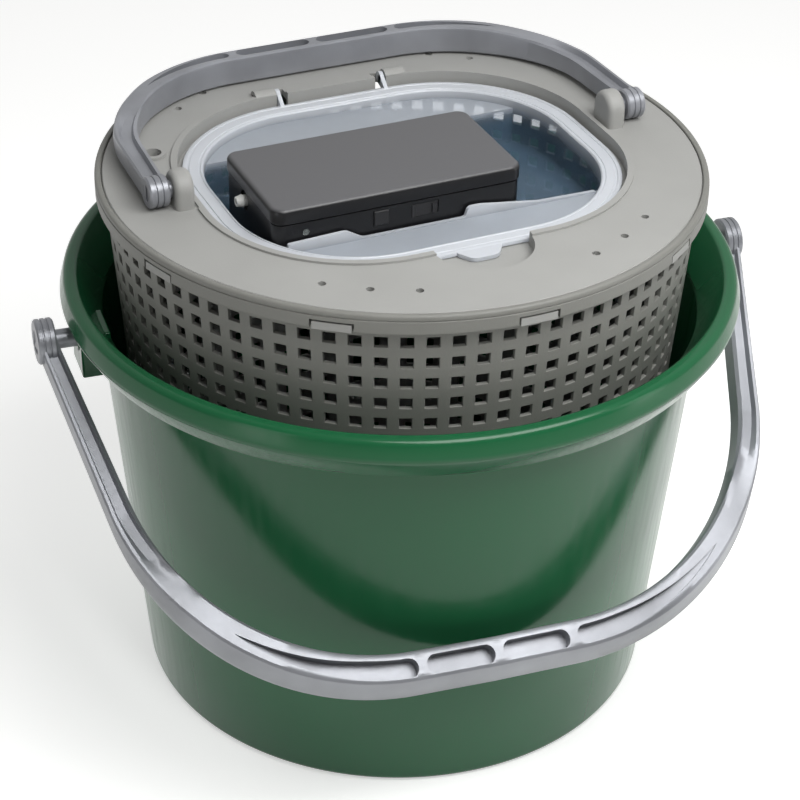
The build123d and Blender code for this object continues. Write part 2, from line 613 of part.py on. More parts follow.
# ---------------------------------------------------------------- hatch
def make_hatch():
    """Flanged pan with shelves front and back, a sunk tray, a notched fence and hinge tabs."""
    pan_inset = FLANGE_WIDTH
    outer = (HATCH_LENGTH - 2 * pan_inset, HATCH_WIDTH - 2 * pan_inset, HATCH_CORNER - pan_inset)
    inner = tuple(size - 2 * PAN_WALL for size in outer[:2]) + (outer[2] - PAN_WALL,)
    shelf_bottom = SHELF_TOP_Z - PAN_WALL
    flange = slab(HATCH_LENGTH, HATCH_WIDTH, HATCH_CORNER, (FLANGE_BOTTOM_Z, FLANGE_TOP_Z))
    flange = fillet(flange.edges().group_by(Axis.Z)[-1], 0.7)
    hatch = flange + slab(*outer, (shelf_bottom, FLANGE_TOP_Z))
    hatch -= slab(*inner, (SHELF_TOP_Z, FLANGE_TOP_Z + 1))
    far = HATCH_LENGTH
    tray_y = (TRAY_FRONT_Y - PAN_WALL, TRAY_BACK_Y + PAN_WALL)
    shell = slab(*outer, (TRAY_FLOOR_Z - PAN_WALL, SHELF_TOP_Z))
    hatch += shell & block((-far, far), tray_y, (TRAY_FLOOR_Z - PAN_WALL, SHELF_TOP_Z))
    hollow = slab(*inner, (TRAY_FLOOR_Z, SHELF_TOP_Z + 1))
    hatch -= hollow & block((-far, far), (TRAY_FRONT_Y, TRAY_BACK_Y), (TRAY_FLOOR_Z, SHELF_TOP_Z + 1))
    fence_y = (TRAY_FRONT_Y - PAN_WALL, TRAY_FRONT_Y)
    fence = block((-FENCE_HALF_LENGTH, FENCE_HALF_LENGTH), fence_y, (SHELF_TOP_Z - 1, FENCE_TOP_Z))
    notch_x = PUMP_X + FENCE_NOTCH_STEP
    notch = (notch_x - FENCE_NOTCH_WIDTH / 2, notch_x + FENCE_NOTCH_WIDTH / 2)
    fence -= block(notch, (fence_y[0] - 1, fence_y[1] + 1), (SHELF_TOP_Z, FENCE_TOP_Z + 1))
    hatch += fence
    front = -HATCH_WIDTH / 2
    tab_half = FINGER_TAB_WIDTH / 2
    tab = block((-tab_half, tab_half), (front - FINGER_TAB_REACH, front + 2), (FLANGE_BOTTOM_Z, FLANGE_TOP_Z))
    hatch += fillet(tab.edges().filter_by(Axis.Z).group_by(Axis.Y)[0], 5)
    return add_hinge_tabs(hatch)


def add_hinge_tabs(hatch):
    """Two tabs that rise from the flange's back edge, each with a pin into its lid lug."""
    back = HATCH_WIDTH / 2
    side_outline = [
        (back - 4, FLANGE_BOTTOM_Z),
        (back, FLANGE_BOTTOM_Z),
        (HINGE_Y + 1, HINGE_Z - HINGE_TAB_RADIUS + 0.2),
        (HINGE_Y - 1, HINGE_Z + HINGE_TAB_RADIUS - 0.2),
        (back - 4, FLANGE_TOP_Z),
    ]
    for side in (-1, 1):
        lug_face = HINGE_LUG_X - HINGE_LUG_LENGTH / 2
        tab_outer = side * (lug_face - 0.5)
        web = make_face(Polyline([(tab_outer, y, z) for y, z in side_outline], close=True))
        tab_x = sorted((tab_outer, tab_outer - side * HINGE_TAB_LENGTH))
        web = extrude(web, HINGE_TAB_LENGTH, dir=(-side, 0, 0))
        pin_tip = side * (lug_face + HINGE_LUG_LENGTH - 0.4)
        hatch += web
        hatch += rod_x(HINGE_TAB_RADIUS, HINGE_Y, HINGE_Z, tab_x)
        hatch += rod_x(HINGE_PIN_RADIUS, HINGE_Y, HINGE_Z, sorted((tab_outer - side, pin_tip)))
    return hatch


# ---------------------------------------------------------------- pump case
def screw_places():
    """The four case screws' centres."""
    half_x = CASE_LENGTH / 2 - SCREW_INSET + PUMP_STEP
    half_y = CASE_WIDTH / 2 - SCREW_INSET + PUMP_STEP
    return [(PUMP_X + sx * half_x, PUMP_Y + sy * half_y) for sx in (-1, 1) for sy in (-1, 1)]


def make_pump_bottom_case():
    """Lower shell: screw posts, control openings, nozzle port, intake holes, lever lugs."""
    corner = PUMP_CORNER - PUMP_STEP
    shell = slab(CASE_LENGTH, CASE_WIDTH, corner, (PUMP_BOTTOM_Z, SEAL_BOTTOM_Z), PUMP_X, PUMP_Y)
    shell = fillet(shell.edges().group_by(Axis.Z)[0], PUMP_BOTTOM_EDGE)
    inside = (CASE_LENGTH - 2 * PUMP_WALL, CASE_WIDTH - 2 * PUMP_WALL, corner - PUMP_WALL)
    shell -= slab(*inside, (PUMP_FLOOR_Z, SEAL_BOTTOM_Z + 1), PUMP_X, PUMP_Y)
    head_z = (PUMP_BOTTOM_Z - 1, PUMP_BOTTOM_Z + SCREW_HEAD_HEIGHT + 0.1)
    for x, y in screw_places():
        shell += rod_z(SCREW_POST_RADIUS, x, y, (PUMP_FLOOR_Z - 1, SEAL_BOTTOM_Z))
        shell -= rod_z(SCREW_RADIUS + 0.2, x, y, (PUMP_BOTTOM_Z - 1, SEAL_BOTTOM_Z + 1))
        shell -= rod_z(SCREW_HEAD_RADIUS + 0.2, x, y, head_z)
    shell -= front_openings()
    shell -= rod_x(NOZZLE_RADIUS + 0.5, LEVER_Y, NOZZLE_Z, (LEFT_FACE_X - 1, LEFT_INNER_X + 1))
    shell -= rod_x(NOZZLE_RADIUS + 2.0, LEVER_Y, NOZZLE_Z, (LEFT_FACE_X - 1, LEFT_FACE_X + 1.2))
    for k in range(5):
        x = filter_place()[0] + 2.4 * math.cos(k * math.tau / 5)
        y = filter_place()[1] + 2.4 * math.sin(k * math.tau / 5)
        shell -= rod_z(0.8, x, y, (PUMP_BOTTOM_Z - 1, PUMP_FLOOR_Z + 1))
    return shell + lever_lugs()


def front_openings():
    """Cutters for the button, the lens, the charge socket and its cover's seat and bead."""
    deep = (FRONT_FACE_Y - 1, FRONT_INNER_Y + 1)
    half = BUTTON_SIZE / 2 + 0.2
    cutters = block((BUTTON_X - half, BUTTON_X + half), deep, (CONTROL_Z - half, CONTROL_Z + half))
    half_w = SOCKET_WIDTH / 2 + 0.2
    shell_z = (BOARD_TOP_Z - 0.2, BOARD_TOP_Z + SOCKET_HEIGHT + 0.2)
    cutters += block((SOCKET_X - half_w, SOCKET_X + half_w), deep, shell_z)
    seat_w = COVER_WIDTH / 2 + 0.2
    seat_h = COVER_HEIGHT / 2 + 0.2
    seat_y = (FRONT_FACE_Y - 1, FRONT_FACE_Y + COVER_THICKNESS + 0.2)
    cutters += block((SOCKET_X - seat_w, SOCKET_X + seat_w), seat_y, (CONTROL_Z - seat_h, CONTROL_Z + seat_h))
    bead_x, bead_y = cover_hinge()
    bead_z = (CONTROL_Z - seat_h, CONTROL_Z + seat_h)
    cutters += rod_z(COVER_BEAD_RADIUS + PIN_CLEARANCE, bead_x, bead_y, bead_z)
    cutters += rod_y(LENS_RADIUS + 0.1, LENS_X, CONTROL_Z, deep)
    return cutters


def cover_hinge():
    """The charge cover's hinge line, as (x, y)."""
    return SOCKET_X - COVER_WIDTH / 2 - 0.3, FRONT_FACE_Y + 0.4


def filter_place():
    """The intake filter's centre, as (x, y)."""
    return MOTOR_X - 15, LEVER_Y + 16


def lever_lugs():
    """Two lugs that stand on the case floor and hold the lever's pin."""
    lug_x = (MOTOR_X - 3.2, MOTOR_X + 3.2)
    lug_z = (PUMP_FLOOR_Z - 1, LEVER_PIVOT_Z + LEVER_HUB_RADIUS)
    half = LEVER_THICKNESS / 2
    lugs = block(lug_x, (LEVER_Y - half - 2.8, LEVER_Y - half - 0.6), lug_z)
    lugs += block(lug_x, (LEVER_Y + half + 0.6, LEVER_Y + half + 2.8), lug_z)
    bore = rod_y(LEVER_PIN_RADIUS + 0.02, MOTOR_X, LEVER_PIVOT_Z, (LEVER_Y - 9, LEVER_Y + 9))
    return lugs - bore


def make_pump_top_case():
    """Upper shell: a plain rounded cover with four screw posts."""
    shell = slab(PUMP_LENGTH, PUMP_WIDTH, PUMP_CORNER, (SEAL_TOP_Z, PUMP_TOP_Z), PUMP_X, PUMP_Y)
    shell = fillet(shell.edges().group_by(Axis.Z)[-1], PUMP_TOP_EDGE)
    wall = 2 * (PUMP_WALL + PUMP_STEP)
    inside = (PUMP_LENGTH - wall, PUMP_WIDTH - wall, PUMP_CORNER - PUMP_WALL - PUMP_STEP)
    shell -= slab(*inside, (SEAL_TOP_Z - 1, PUMP_TOP_Z - PUMP_WALL), PUMP_X, PUMP_Y)
    for x, y in screw_places():
        shell += rod_z(SCREW_POST_RADIUS, x, y, (SEAL_TOP_Z, PUMP_TOP_Z - PUMP_WALL + 0.5))
        shell -= rod_z(SCREW_RADIUS + 0.02, x, y, (SEAL_TOP_Z - 1, SEAL_TOP_Z + 4))
    return shell


def make_case_seal():
    """Flat gasket between the two shells."""
    length = CASE_LENGTH - 2 * SEAL_INSET
    width = CASE_WIDTH - 2 * SEAL_INSET
    corner = PUMP_CORNER - PUMP_STEP - SEAL_INSET
    cut = 2 * (PUMP_WALL - SEAL_INSET)
    z = (SEAL_BOTTOM_Z, SEAL_TOP_Z)
    ring = slab(length, width, corner, z, PUMP_X, PUMP_Y)
    return ring - slab(length - cut, width - cut, corner - cut / 2, z, PUMP_X, PUMP_Y)


def make_case_screws():
    """Four pan-head screws from below, with a cross slot."""
    solids = []
    head_bottom = PUMP_BOTTOM_Z + 0.1
    for x, y in screw_places():
        screw = rod_z(SCREW_HEAD_RADIUS, x, y, (head_bottom, head_bottom + SCREW_HEAD_HEIGHT))
        screw += rod_z(SCREW_RADIUS, x, y, (head_bottom, head_bottom + SCREW_LENGTH))
        for span in ((1.8, 0.4), (0.4, 1.8)):
            screw -= block((x - span[0], x + span[0]), (y - span[1], y + span[1]), (head_bottom - 1, head_bottom + 1))
        solids.append(screw)
    return solids


def make_rubber_feet():
    """Four feet under the case, inboard of the screws."""
    solids = []
    for x, y in screw_places():
        foot_x = x - math.copysign(SCREW_HEAD_RADIUS + FOOT_RADIUS + 2, x - PUMP_X)
        foot = rod_z(FOOT_RADIUS, foot_x, y, (PUMP_BOTTOM_Z - FOOT_HEIGHT, PUMP_BOTTOM_Z))
        solids.append(chamfer(foot.edges().group_by(Axis.Z)[0], 0.4))
    return solids


# ---------------------------------------------------------------- pump controls
def make_power_button():
    """Square cap through the front wall, with a flange that stops it from inside."""
    half = BUTTON_SIZE / 2
    cap_y = (FRONT_FACE_Y - BUTTON_PROUD, FRONT_INNER_Y + 1.2)
    cap = block((BUTTON_X - half, BUTTON_X + half), cap_y, (CONTROL_Z - half, CONTROL_Z + half))
    cap = fillet(cap.edges().group_by(Axis.Y)[0], 0.5)
    wide = half + 0.6
    flange_y = (FRONT_INNER_Y + 0.05, FRONT_INNER_Y + 0.05 + BUTTON_FLANGE)
    return cap + block((BUTTON_X - wide, BUTTON_X + wide), flange_y, (CONTROL_Z - wide, CONTROL_Z + wide))


def make_tact_switch():
    """Side-push switch on the board, its plunger just clear of the button at full travel."""
    face = FRONT_INNER_Y + 1.2 + BUTTON_TRAVEL + 0.1
    body = block((BUTTON_X - 3, BUTTON_X + 3), (face + 0.5, face + 6.5), (BOARD_TOP_Z, CONTROL_Z + 2))
    return body + rod_y(1.2, BUTTON_X, CONTROL_Z, (face, face + 1))


def make_charge_socket():
    """Metal socket shell with its tongue, on the board's front edge."""
    half = SOCKET_WIDTH / 2
    front = FRONT_FACE_Y + COVER_THICKNESS + 0.3
    z = (BOARD_TOP_Z, BOARD_TOP_Z + SOCKET_HEIGHT)
    shell = block((SOCKET_X - half, SOCKET_X + half), (front, front + SOCKET_DEPTH), z)
    shell = fillet(shell.edges().filter_by(Axis.Y), 1.0)
    mouth_x = (SOCKET_X - half + 0.5, SOCKET_X + half - 0.5)
    mouth_y = (front - 1, front + SOCKET_DEPTH - 1)
    shell -= block(mouth_x, mouth_y, (z[0] + 0.5, z[1] - 0.5))
    tongue_z = (BOARD_TOP_Z + SOCKET_HEIGHT / 2 - 0.35, BOARD_TOP_Z + SOCKET_HEIGHT / 2 + 0.35)
    tongue_y = (front + 0.8, front + SOCKET_DEPTH - 0.5)
    return shell + block((SOCKET_X - half + 1.3, SOCKET_X + half - 1.3), tongue_y, tongue_z)


def make_charge_cover():
    """Flap over the socket, hinged on a bead that runs in a groove of the case."""
    bead_x, bead_y = cover_hinge()
    half = COVER_HEIGHT / 2
    z = (CONTROL_Z - half, CONTROL_Z + half)
    plate_y = (FRONT_FACE_Y + 0.05, FRONT_FACE_Y + 0.05 + COVER_THICKNESS)
    plate = block((bead_x, SOCKET_X + COVER_WIDTH / 2 - 0.3), plate_y, z)
    lip = block((SOCKET_X + 3, SOCKET_X + 4.5), (plate_y[0] - 0.7, plate_y[0] + 0.2), (z[0] + 1, z[1] - 1))
    return plate + lip + rod_z(COVER_BEAD_RADIUS, bead_x, bead_y, z)


def make_indicator_lens():
    """Round window pressed in from inside."""
    lens = rod_y(LENS_RADIUS, LENS_X, CONTROL_Z, (FRONT_FACE_Y - 0.2, FRONT_INNER_Y + 1))
    return lens + rod_y(LENS_RADIUS + 1, LENS_X, CONTROL_Z, (FRONT_INNER_Y, FRONT_INNER_Y + 1))


# ---------------------------------------------------------------- batteries and board
def cell_rows():
    """The cells' centre lines, from the back of the case forwards."""
    return [CELL_FIRST_Y - k * CELL_PITCH for k in range(CELL_COUNT)]


def holder_span():
    """The low and high Y of the cell holder."""
    rows = cell_rows()
    return rows[-1] - CELL_RADIUS - 1.2, rows[0] + CELL_RADIUS + 1.0


def make_battery_cells():
    """Cylindrical cells with a raised positive end."""
    half = CELL_LENGTH / 2
    solids = []
    for y in cell_rows():
        can = rod_x(CELL_RADIUS, y, CELL_Z, (CELL_MID_X - half, CELL_MID_X + half - 1))
        can = fillet(can.edges(), 0.6)
        solids.append(can + rod_x(2.7, y, CELL_Z, (CELL_MID_X + half - 1.5, CELL_MID_X + half)))
    return solids


def make_cell_holder():
    """Cradle for the cells, whose end walls also carry the circuit board."""
    y = holder_span()
    inner = CELL_LENGTH / 2 + CONTACT_THICKNESS + 0.1
    outer = inner + HOLDER_WALL
    base = block((CELL_MID_X - outer, CELL_MID_X + outer), y, (PUMP_FLOOR_Z, PUMP_FLOOR_Z + HOLDER_BASE))
    for side in (-1, 1):
        wall_x = sorted((CELL_MID_X + side * inner, CELL_MID_X + side * outer))
        base += block(wall_x, y, (PUMP_FLOOR_Z, BOARD_BOTTOM_Z))
    rows = cell_rows()
    for first, second in zip(rows, rows[1:]):
        mid = (first + second) / 2
        rib_x = (CELL_MID_X - CELL_LENGTH / 2 + 0.2, CELL_MID_X + CELL_LENGTH / 2 - 0.2)
        rib_z = (PUMP_FLOOR_Z, PUMP_FLOOR_Z + HOLDER_BASE + 3)
        base += block(rib_x, (mid - 0.6, mid + 0.6), rib_z)
    for row in rows:
        reach = (CELL_MID_X - inner, CELL_MID_X + inner)
        base -= rod_x(CELL_RADIUS + 0.05, row, CELL_Z, reach)
    return base


def make_battery_contacts():
    """Two sprung steel plates at the cells' ends."""
    low, high = holder_span()
    half = CELL_LENGTH / 2
    solids = []
    for side in (-1, 1):
        plate_x = sorted((CELL_MID_X + side * half, CELL_MID_X + side * (half + CONTACT_THICKNESS)))
        solids.append(block(plate_x, (low + 2, high - 2), (PUMP_FLOOR_Z + 3, BOARD_BOTTOM_Z)))
    return solids


def make_circuit_board():
    """Board with a charger chip, a coil and a capacitor."""
    board = block(BOARD_X, BOARD_Y, (BOARD_BOTTOM_Z, BOARD_TOP_Z))
    board += block((6, 12), (-20, -14), (BOARD_TOP_Z - 0.1, BOARD_TOP_Z + 1.1))
    board += block((-26, -19), (-12, -5), (BOARD_TOP_Z - 0.1, BOARD_TOP_Z + 3.2))
    board += rod_z(3.1, 18, -30, (BOARD_TOP_Z - 0.1, BOARD_TOP_Z + 7))
    return board


# ---------------------------------------------------------------- pump works
def make_motor():
    """Small can motor with a front boss; the shaft runs in its bore."""
    can = rod_y(MOTOR_RADIUS, MOTOR_X, MOTOR_Z, MOTOR_Y)
    can = fillet(can.edges(), 0.8)
    can += rod_y(3.0, MOTOR_X, MOTOR_Z, (MOTOR_Y[1] - 0.5, MOTOR_Y[1] + 0.5))
    return can - rod_y(SHAFT_RADIUS + 0.05, MOTOR_X, MOTOR_Z, (MOTOR_Y[0] + 6, MOTOR_Y[1] + 2))


def make_motor_cradle():
    """Saddle on the case floor under the motor."""
    half = MOTOR_RADIUS - 1
    saddle = block((MOTOR_X - half, MOTOR_X + half), (MOTOR_Y[0] + 2, MOTOR_Y[1] - 2), (PUMP_FLOOR_Z, MOTOR_Z - 3))
    return saddle - rod_y(MOTOR_RADIUS + 0.05, MOTOR_X, MOTOR_Z, MOTOR_Y)


def make_motor_shaft():
    """Steel shaft from inside the motor to the wheel's far face."""
    return rod_y(SHAFT_RADIUS, MOTOR_X, MOTOR_Z, (MOTOR_Y[0] + 6.5, WHEEL_Y + WHEEL_WIDTH - 0.6))


def make_eccentric_wheel():
    """Wheel on the shaft with an off-centre crank pin and a balance cut."""
    wheel = rod_y(WHEEL_RADIUS, MOTOR_X, MOTOR_Z, (WHEEL_Y, WHEEL_Y + WHEEL_WIDTH))
    balance = rod_y(1.4, MOTOR_X - 4.2, MOTOR_Z, (WHEEL_Y - 1, WHEEL_Y + WHEEL_WIDTH + 1))
    wheel -= balance
    wheel -= rod_y(SHAFT_RADIUS + 0.02, MOTOR_X, MOTOR_Z, (WHEEL_Y - 1, WHEEL_Y + WHEEL_WIDTH - 0.5))
    crank_y = (WHEEL_Y + WHEEL_WIDTH - 0.5, LEVER_Y + LEVER_THICKNESS / 2 + 0.3)
    return wheel + rod_y(CRANK_RADIUS, CRANK_X, MOTOR_Z, crank_y)


def make_pump_lever():
    """Rocking lever: hub on its pin, a window round the crank pin, an arm to the diaphragm."""
    y = (LEVER_Y - LEVER_THICKNESS / 2, LEVER_Y + LEVER_THICKNESS / 2)
    window_half = CRANK_THROW + CRANK_RADIUS
    window_x = (MOTOR_X - window_half - 1.0, MOTOR_X + window_half + 0.4)
    window_z = (MOTOR_Z - window_half - 1.2, MOTOR_Z + window_half + 1.4)
    frame_x = (window_x[0] - 2.4, window_x[1] + 2.4)
    lever = rod_y(LEVER_HUB_RADIUS, MOTOR_X, LEVER_PIVOT_Z, y)
    lever += block((MOTOR_X - 2.6, MOTOR_X + 2.6), y, (LEVER_PIVOT_Z, window_z[0]))
    lever += block(frame_x, y, (window_z[0] - 2, window_z[1] + 2))
    lever -= block(window_x, (y[0] - 1, y[1] + 1), window_z)
    pad_x = diaphragm_face() + SEAT_GAP
    lever += block((pad_x, frame_x[1]), y, (NOZZLE_Z - 2.2, NOZZLE_Z + 2.2))
    lever += block((MOTOR_X - 3, MOTOR_X + 3), y, (window_z[1] + 1, NOZZLE_Z))
    lever += rod_x(3.0, LEVER_Y, NOZZLE_Z, (pad_x, pad_x + 1.6))
    return lever - rod_y(LEVER_PIN_RADIUS + 0.06, MOTOR_X, LEVER_PIVOT_Z, (y[0] - 1, y[1] + 1))


def make_lever_pin():
    """Steel pin through both lugs."""
    half = LEVER_THICKNESS / 2 + 2.8
    return rod_y(LEVER_PIN_RADIUS, MOTOR_X, LEVER_PIVOT_Z, (LEVER_Y - half, LEVER_Y + half))


def diaphragm_face():
    """X of the diaphragm's pushed face."""
    return VALVE_X + VALVE_LENGTH + 5.0


def make_valve_block():
    """Block on the case floor with the pumping chamber, its ports and the nozzle's seat."""
    y = (LEVER_Y - VALVE_WIDTH / 2, LEVER_Y + VALVE_WIDTH / 2)
    x = (VALVE_X, VALVE_X + VALVE_LENGTH)
    valve = block(x, y, (PUMP_FLOOR_Z, VALVE_TOP_Z))
    valve = fillet(valve.edges().filter_by(Axis.X).group_by(Axis.Z)[-1], 3)
    valve -= rod_x(DIAPHRAGM_CUP_RADIUS, LEVER_Y, NOZZLE_Z, (x[1] - 4, x[1] + 1))
    valve -= rod_x(1.2, LEVER_Y + 3, NOZZLE_Z, (x[0] + 5, x[1]))
    valve -= rod_x(1.2, LEVER_Y, NOZZLE_Z, (x[0] - 1, x[1]))
    return valve - rod_x(NOZZLE_RADIUS + 0.02, LEVER_Y, NOZZLE_Z, (x[0] - 1, x[0] + 2.5))


def make_valve_flaps():
    """Two rubber flaps over the chamber's ports."""
    back = VALVE_X + VALVE_LENGTH - 4
    places = (LEVER_Y + 3.4, LEVER_Y - 1.6)
    return [rod_x(1.9, y, NOZZLE_Z, (back, back + 0.6)) for y in places]


def make_diaphragm():
    """Hollow rubber cup whose flange lies on the valve block."""
    seat = VALVE_X + VALVE_LENGTH
    face = diaphragm_face()
    cup = rod_x(DIAPHRAGM_RADIUS, LEVER_Y, NOZZLE_Z, (seat, seat + 1.5))
    cup += rod_x(DIAPHRAGM_CUP_RADIUS, LEVER_Y, NOZZLE_Z, (seat, face))
    return cup - rod_x(DIAPHRAGM_CUP_RADIUS - 1.2, LEVER_Y, NOZZLE_Z, (seat - 1, face - 1.4))


def make_air_nozzle():
    """Barbed hose nipple through the case's left end."""
    tip = LEFT_FACE_X - NOZZLE_REACH
    nozzle = rod_x(NOZZLE_RADIUS, LEVER_Y, NOZZLE_Z, (tip + 1.5, VALVE_X + 2.4))
    barb = Pos(tip + 1.5, LEVER_Y, NOZZLE_Z) * Rot(0, -90, 0) * Cone(NOZZLE_RADIUS + 0.4, NOZZLE_RADIUS - 0.4, 3)
    return nozzle + barb - rod_x(1.2, LEVER_Y, NOZZLE_Z, (tip - 1, VALVE_X + 3))


def make_intake_filter():
    """Felt disc over the intake holes."""
    return rod_z(FILTER_RADIUS, *filter_place(), (PUMP_FLOOR_Z, PUMP_FLOOR_Z + FILTER_HEIGHT))


def make_motor_leads():
    """Two short stiff leads from the motor's side to the board's edge."""
    z = (BOARD_BOTTOM_Z + BOARD_TOP_Z) / 2
    skin = MOTOR_X + math.sqrt(MOTOR_RADIUS**2 - (z - MOTOR_Z) ** 2)
    return [rod_x(0.5, y, z, (skin + 0.4, BOARD_X[0])) for y in (-37, -30)]


# ---------------------------------------------------------------- all pieces
PIECES = {
    "bucket": make_bucket,
    "bucket_handle": make_bucket_handle,
    "basket": make_basket,
    "lid": make_lid,
    "insert_handle": make_insert_handle,
    "hatch": make_hatch,
    "pump_bottom_case": make_pump_bottom_case,
    "pump_top_case": make_pump_top_case,
    "case_seal": make_case_seal,
    "case_screws": make_case_screws,
    "rubber_feet": make_rubber_feet,
    "power_button": make_power_button,
    "tact_switch": make_tact_switch,
    "charge_socket": make_charge_socket,
    "charge_cover": make_charge_cover,
    "indicator_lens": make_indicator_lens,
    "battery_cells": make_battery_cells,
    "cell_holder": make_cell_holder,
    "battery_contacts": make_battery_contacts,
    "circuit_board": make_circuit_board,
    "motor": make_motor,
    "motor_cradle": make_motor_cradle,
    "motor_shaft": make_motor_shaft,
    "eccentric_wheel": make_eccentric_wheel,
    "pump_lever": make_pump_lever,
    "lever_pin": make_lever_pin,
    "valve_block": make_valve_block,
    "valve_flaps": make_valve_flaps,
    "diaphragm": make_diaphragm,
    "air_nozzle": make_air_nozzle,
    "intake_filter": make_intake_filter,
    "motor_leads": make_motor_leads,
}

os.makedirs("parts", exist_ok=True)
for node, make in PIECES.items():
    made = make()
    if isinstance(made, list):
        made = Compound([solid for piece in made for solid in piece.solids()])
    export_step(made, f"parts/{node}.step")
    print(f"{node}: {len(made.solids())} solids, {made.volume / 1000:.1f} cm3")
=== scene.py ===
"""The looks of an aerated bait bucket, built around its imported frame.

Sizes are written in millimetres and go to metres when a piece is finished. +Z is up, -Y is
the front, where the hatch's finger tab is, and +X runs along the insert handle's pivots.
"""

from math import ceil, cos, pi, radians, sin, sqrt, tan, tau

import bmesh
import bpy
from bpy.props import FloatProperty, IntProperty, PointerProperty, StringProperty
from mathutils import Matrix, Vector


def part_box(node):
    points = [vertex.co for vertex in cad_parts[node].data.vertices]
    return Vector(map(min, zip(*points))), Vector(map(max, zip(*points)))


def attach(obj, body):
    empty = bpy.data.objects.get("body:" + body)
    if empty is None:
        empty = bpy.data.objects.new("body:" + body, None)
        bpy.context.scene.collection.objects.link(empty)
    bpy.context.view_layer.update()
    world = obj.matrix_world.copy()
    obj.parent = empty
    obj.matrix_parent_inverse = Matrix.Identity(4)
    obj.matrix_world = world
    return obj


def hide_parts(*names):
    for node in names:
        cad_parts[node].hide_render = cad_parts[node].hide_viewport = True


bl_info = {
    "name": "Aerated bait bucket",
    "version": (1, 0, 0),
    "blender": (4, 5, 0),
    "location": "View3D > Sidebar > Bait Bucket",
    "description": "Builds the looks of a bait bucket with a perforated insert and an air pump",
    "category": "Add Mesh",
}

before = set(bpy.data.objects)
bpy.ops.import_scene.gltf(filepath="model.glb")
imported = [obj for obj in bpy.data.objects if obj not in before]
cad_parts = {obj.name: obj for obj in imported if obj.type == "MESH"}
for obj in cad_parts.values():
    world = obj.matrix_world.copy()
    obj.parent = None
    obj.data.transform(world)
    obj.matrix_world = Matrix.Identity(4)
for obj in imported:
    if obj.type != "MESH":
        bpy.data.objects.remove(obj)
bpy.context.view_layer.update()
MM = 0.001
# Edges sharper than this stay crisp in the shading.
CRISP_ANGLE = radians(32)


# ---------------------------------------------------------------- settings
def number(name, description, default):
    """A setting that is a number: a length in millimetres, or what its description says."""
    return FloatProperty(name=name, description=description, default=default, precision=3)


def colour_code(name, description, default):
    """A setting that is a colour, as an sRGB hex code."""
    return StringProperty(name=name, description=description, default=default, maxlen=7)


class BucketSettings(bpy.types.PropertyGroup):
    """Sizes of the green bucket, in millimetres."""

    height: number("Height", "Foot to rim crest", 216.0)
    base_radius: number("Base radius", "Outside of the base", 126.0)
    neck_radius: number("Neck radius", "Outside, under the rim", 143.0)
    rim_radius: number("Rim radius", "Outside of the rolled rim", 160.0)
    wall: number("Wall", "Wall thickness", 2.6)
    ear_face: number("Ear face", "Centre to the ears' faces", 155.5)
    ear_half: number("Ear half", "Half an ear's width", 11.0)
    ear_foot: number("Ear foot", "Height of the ears' feet", 181.5)
    ear_top: number("Ear top", "Height of the ears' tops", 204.0)
    pivot: number("Pivot", "Height of the bail's pivots", 198.0)
    yaw: number("Yaw", "Degrees that the ears are turned by", -6.0)
    lean: number("Lean", "Bail's degrees from hanging plumb", 52.475)
    steps: IntProperty(name="Steps", description="Divisions round the bucket", default=288)
    colour: colour_code("Colour", "sRGB hex of the plastic", "#1b5b38")


class BasketSettings(bpy.types.PropertyGroup):
    """Sizes of the perforated basket, in millimetres."""

    base_radius: number("Base radius", "Outside of the floor", 117.5)
    top_radius: number("Top radius", "Wall under the collar", 136.3)
    collar_radius: number("Collar radius", "Outside of the collar", 140.5)
    wall: number("Wall", "Wall thickness", 2.2)
    columns: IntProperty(name="Columns", description="Holes round the wall", default=78)
    rows: IntProperty(name="Rows", description="Rows of holes", default=22)
    row_pitch: number("Row pitch", "Height of one row", 10.5)
    web: number("Web", "Plastic between two holes", 5.3)
    floor: number("Floor", "Height of the floor's underside", 5.3)
    top_row: number("Top row", "Height of the top row's middle", 250.4)
    wall_top: number("Wall top", "Height of the wall's top", 256.2)
    collar_top: number("Collar top", "Height of the collar", 266.0)
    # Painted shade: the basket is the lid's plastic, and this darker colour stands for the shade on its
    # upright wall inside the bucket.
    colour: colour_code("Colour", "sRGB hex of the plastic", "#7b7b76")


class LidSettings(bpy.types.PropertyGroup):
    """Finish of the lid, hatch and handles, and the lid's bosses, in millimetres."""

    lid_colour: colour_code("Lid", "sRGB hex of the lid", "#9b9b98")
    handle_colour: colour_code("Handles", "sRGB hex of the bails", "#8b8d92")
    hatch_colour: colour_code("Hatch", "sRGB hex of the hatch", "#dfe3e9")
    edge: number("Edge", "Rounding of moulded edges", 0.5)
    pivot: number("Pivot", "Height of the handle's pins", 273.2)
    boss_face: number("Boss face", "Centre to the bosses", 103.0)
    boss_width: number("Boss width", "A boss's size along X", 9.0)
    boss_radius: number("Boss radius", "Round end of a boss", 8.5)
    boss_foot: number("Boss foot", "Height of the bosses' feet", 264.6)


class HatchSettings(bpy.types.PropertyGroup):
    """Sizes of the hatch, in millimetres, with heights above the floor."""

    length: number("Length", "Flange, side to side", 195.4)
    width: number("Width", "Flange, front to back", 164.2)
    corner: number("Corner", "Flange's plan radius", 67.0)
    wall: number("Wall", "Pan's wall thickness", 1.8)
    flange_top: number("Flange top", "Height of the flange", 261.9)
    shelf: number("Shelf", "Height of the shelves", 257.5)
    floor: number("Floor", "Height of the tray's floor", 240.0)
    fence: number("Fence", "Height of the fence's top", 263.0)
    tray_front: number("Tray front", "Y of the tray's front wall", -46.8)
    tray_back: number("Tray back", "Y of the tray's back wall", 45.0)
    hinge_y: number("Hinge Y", "Y of the hinge's pins", 88.0)
    hinge: number("Hinge", "Height of the hinge's pins", 264.6)


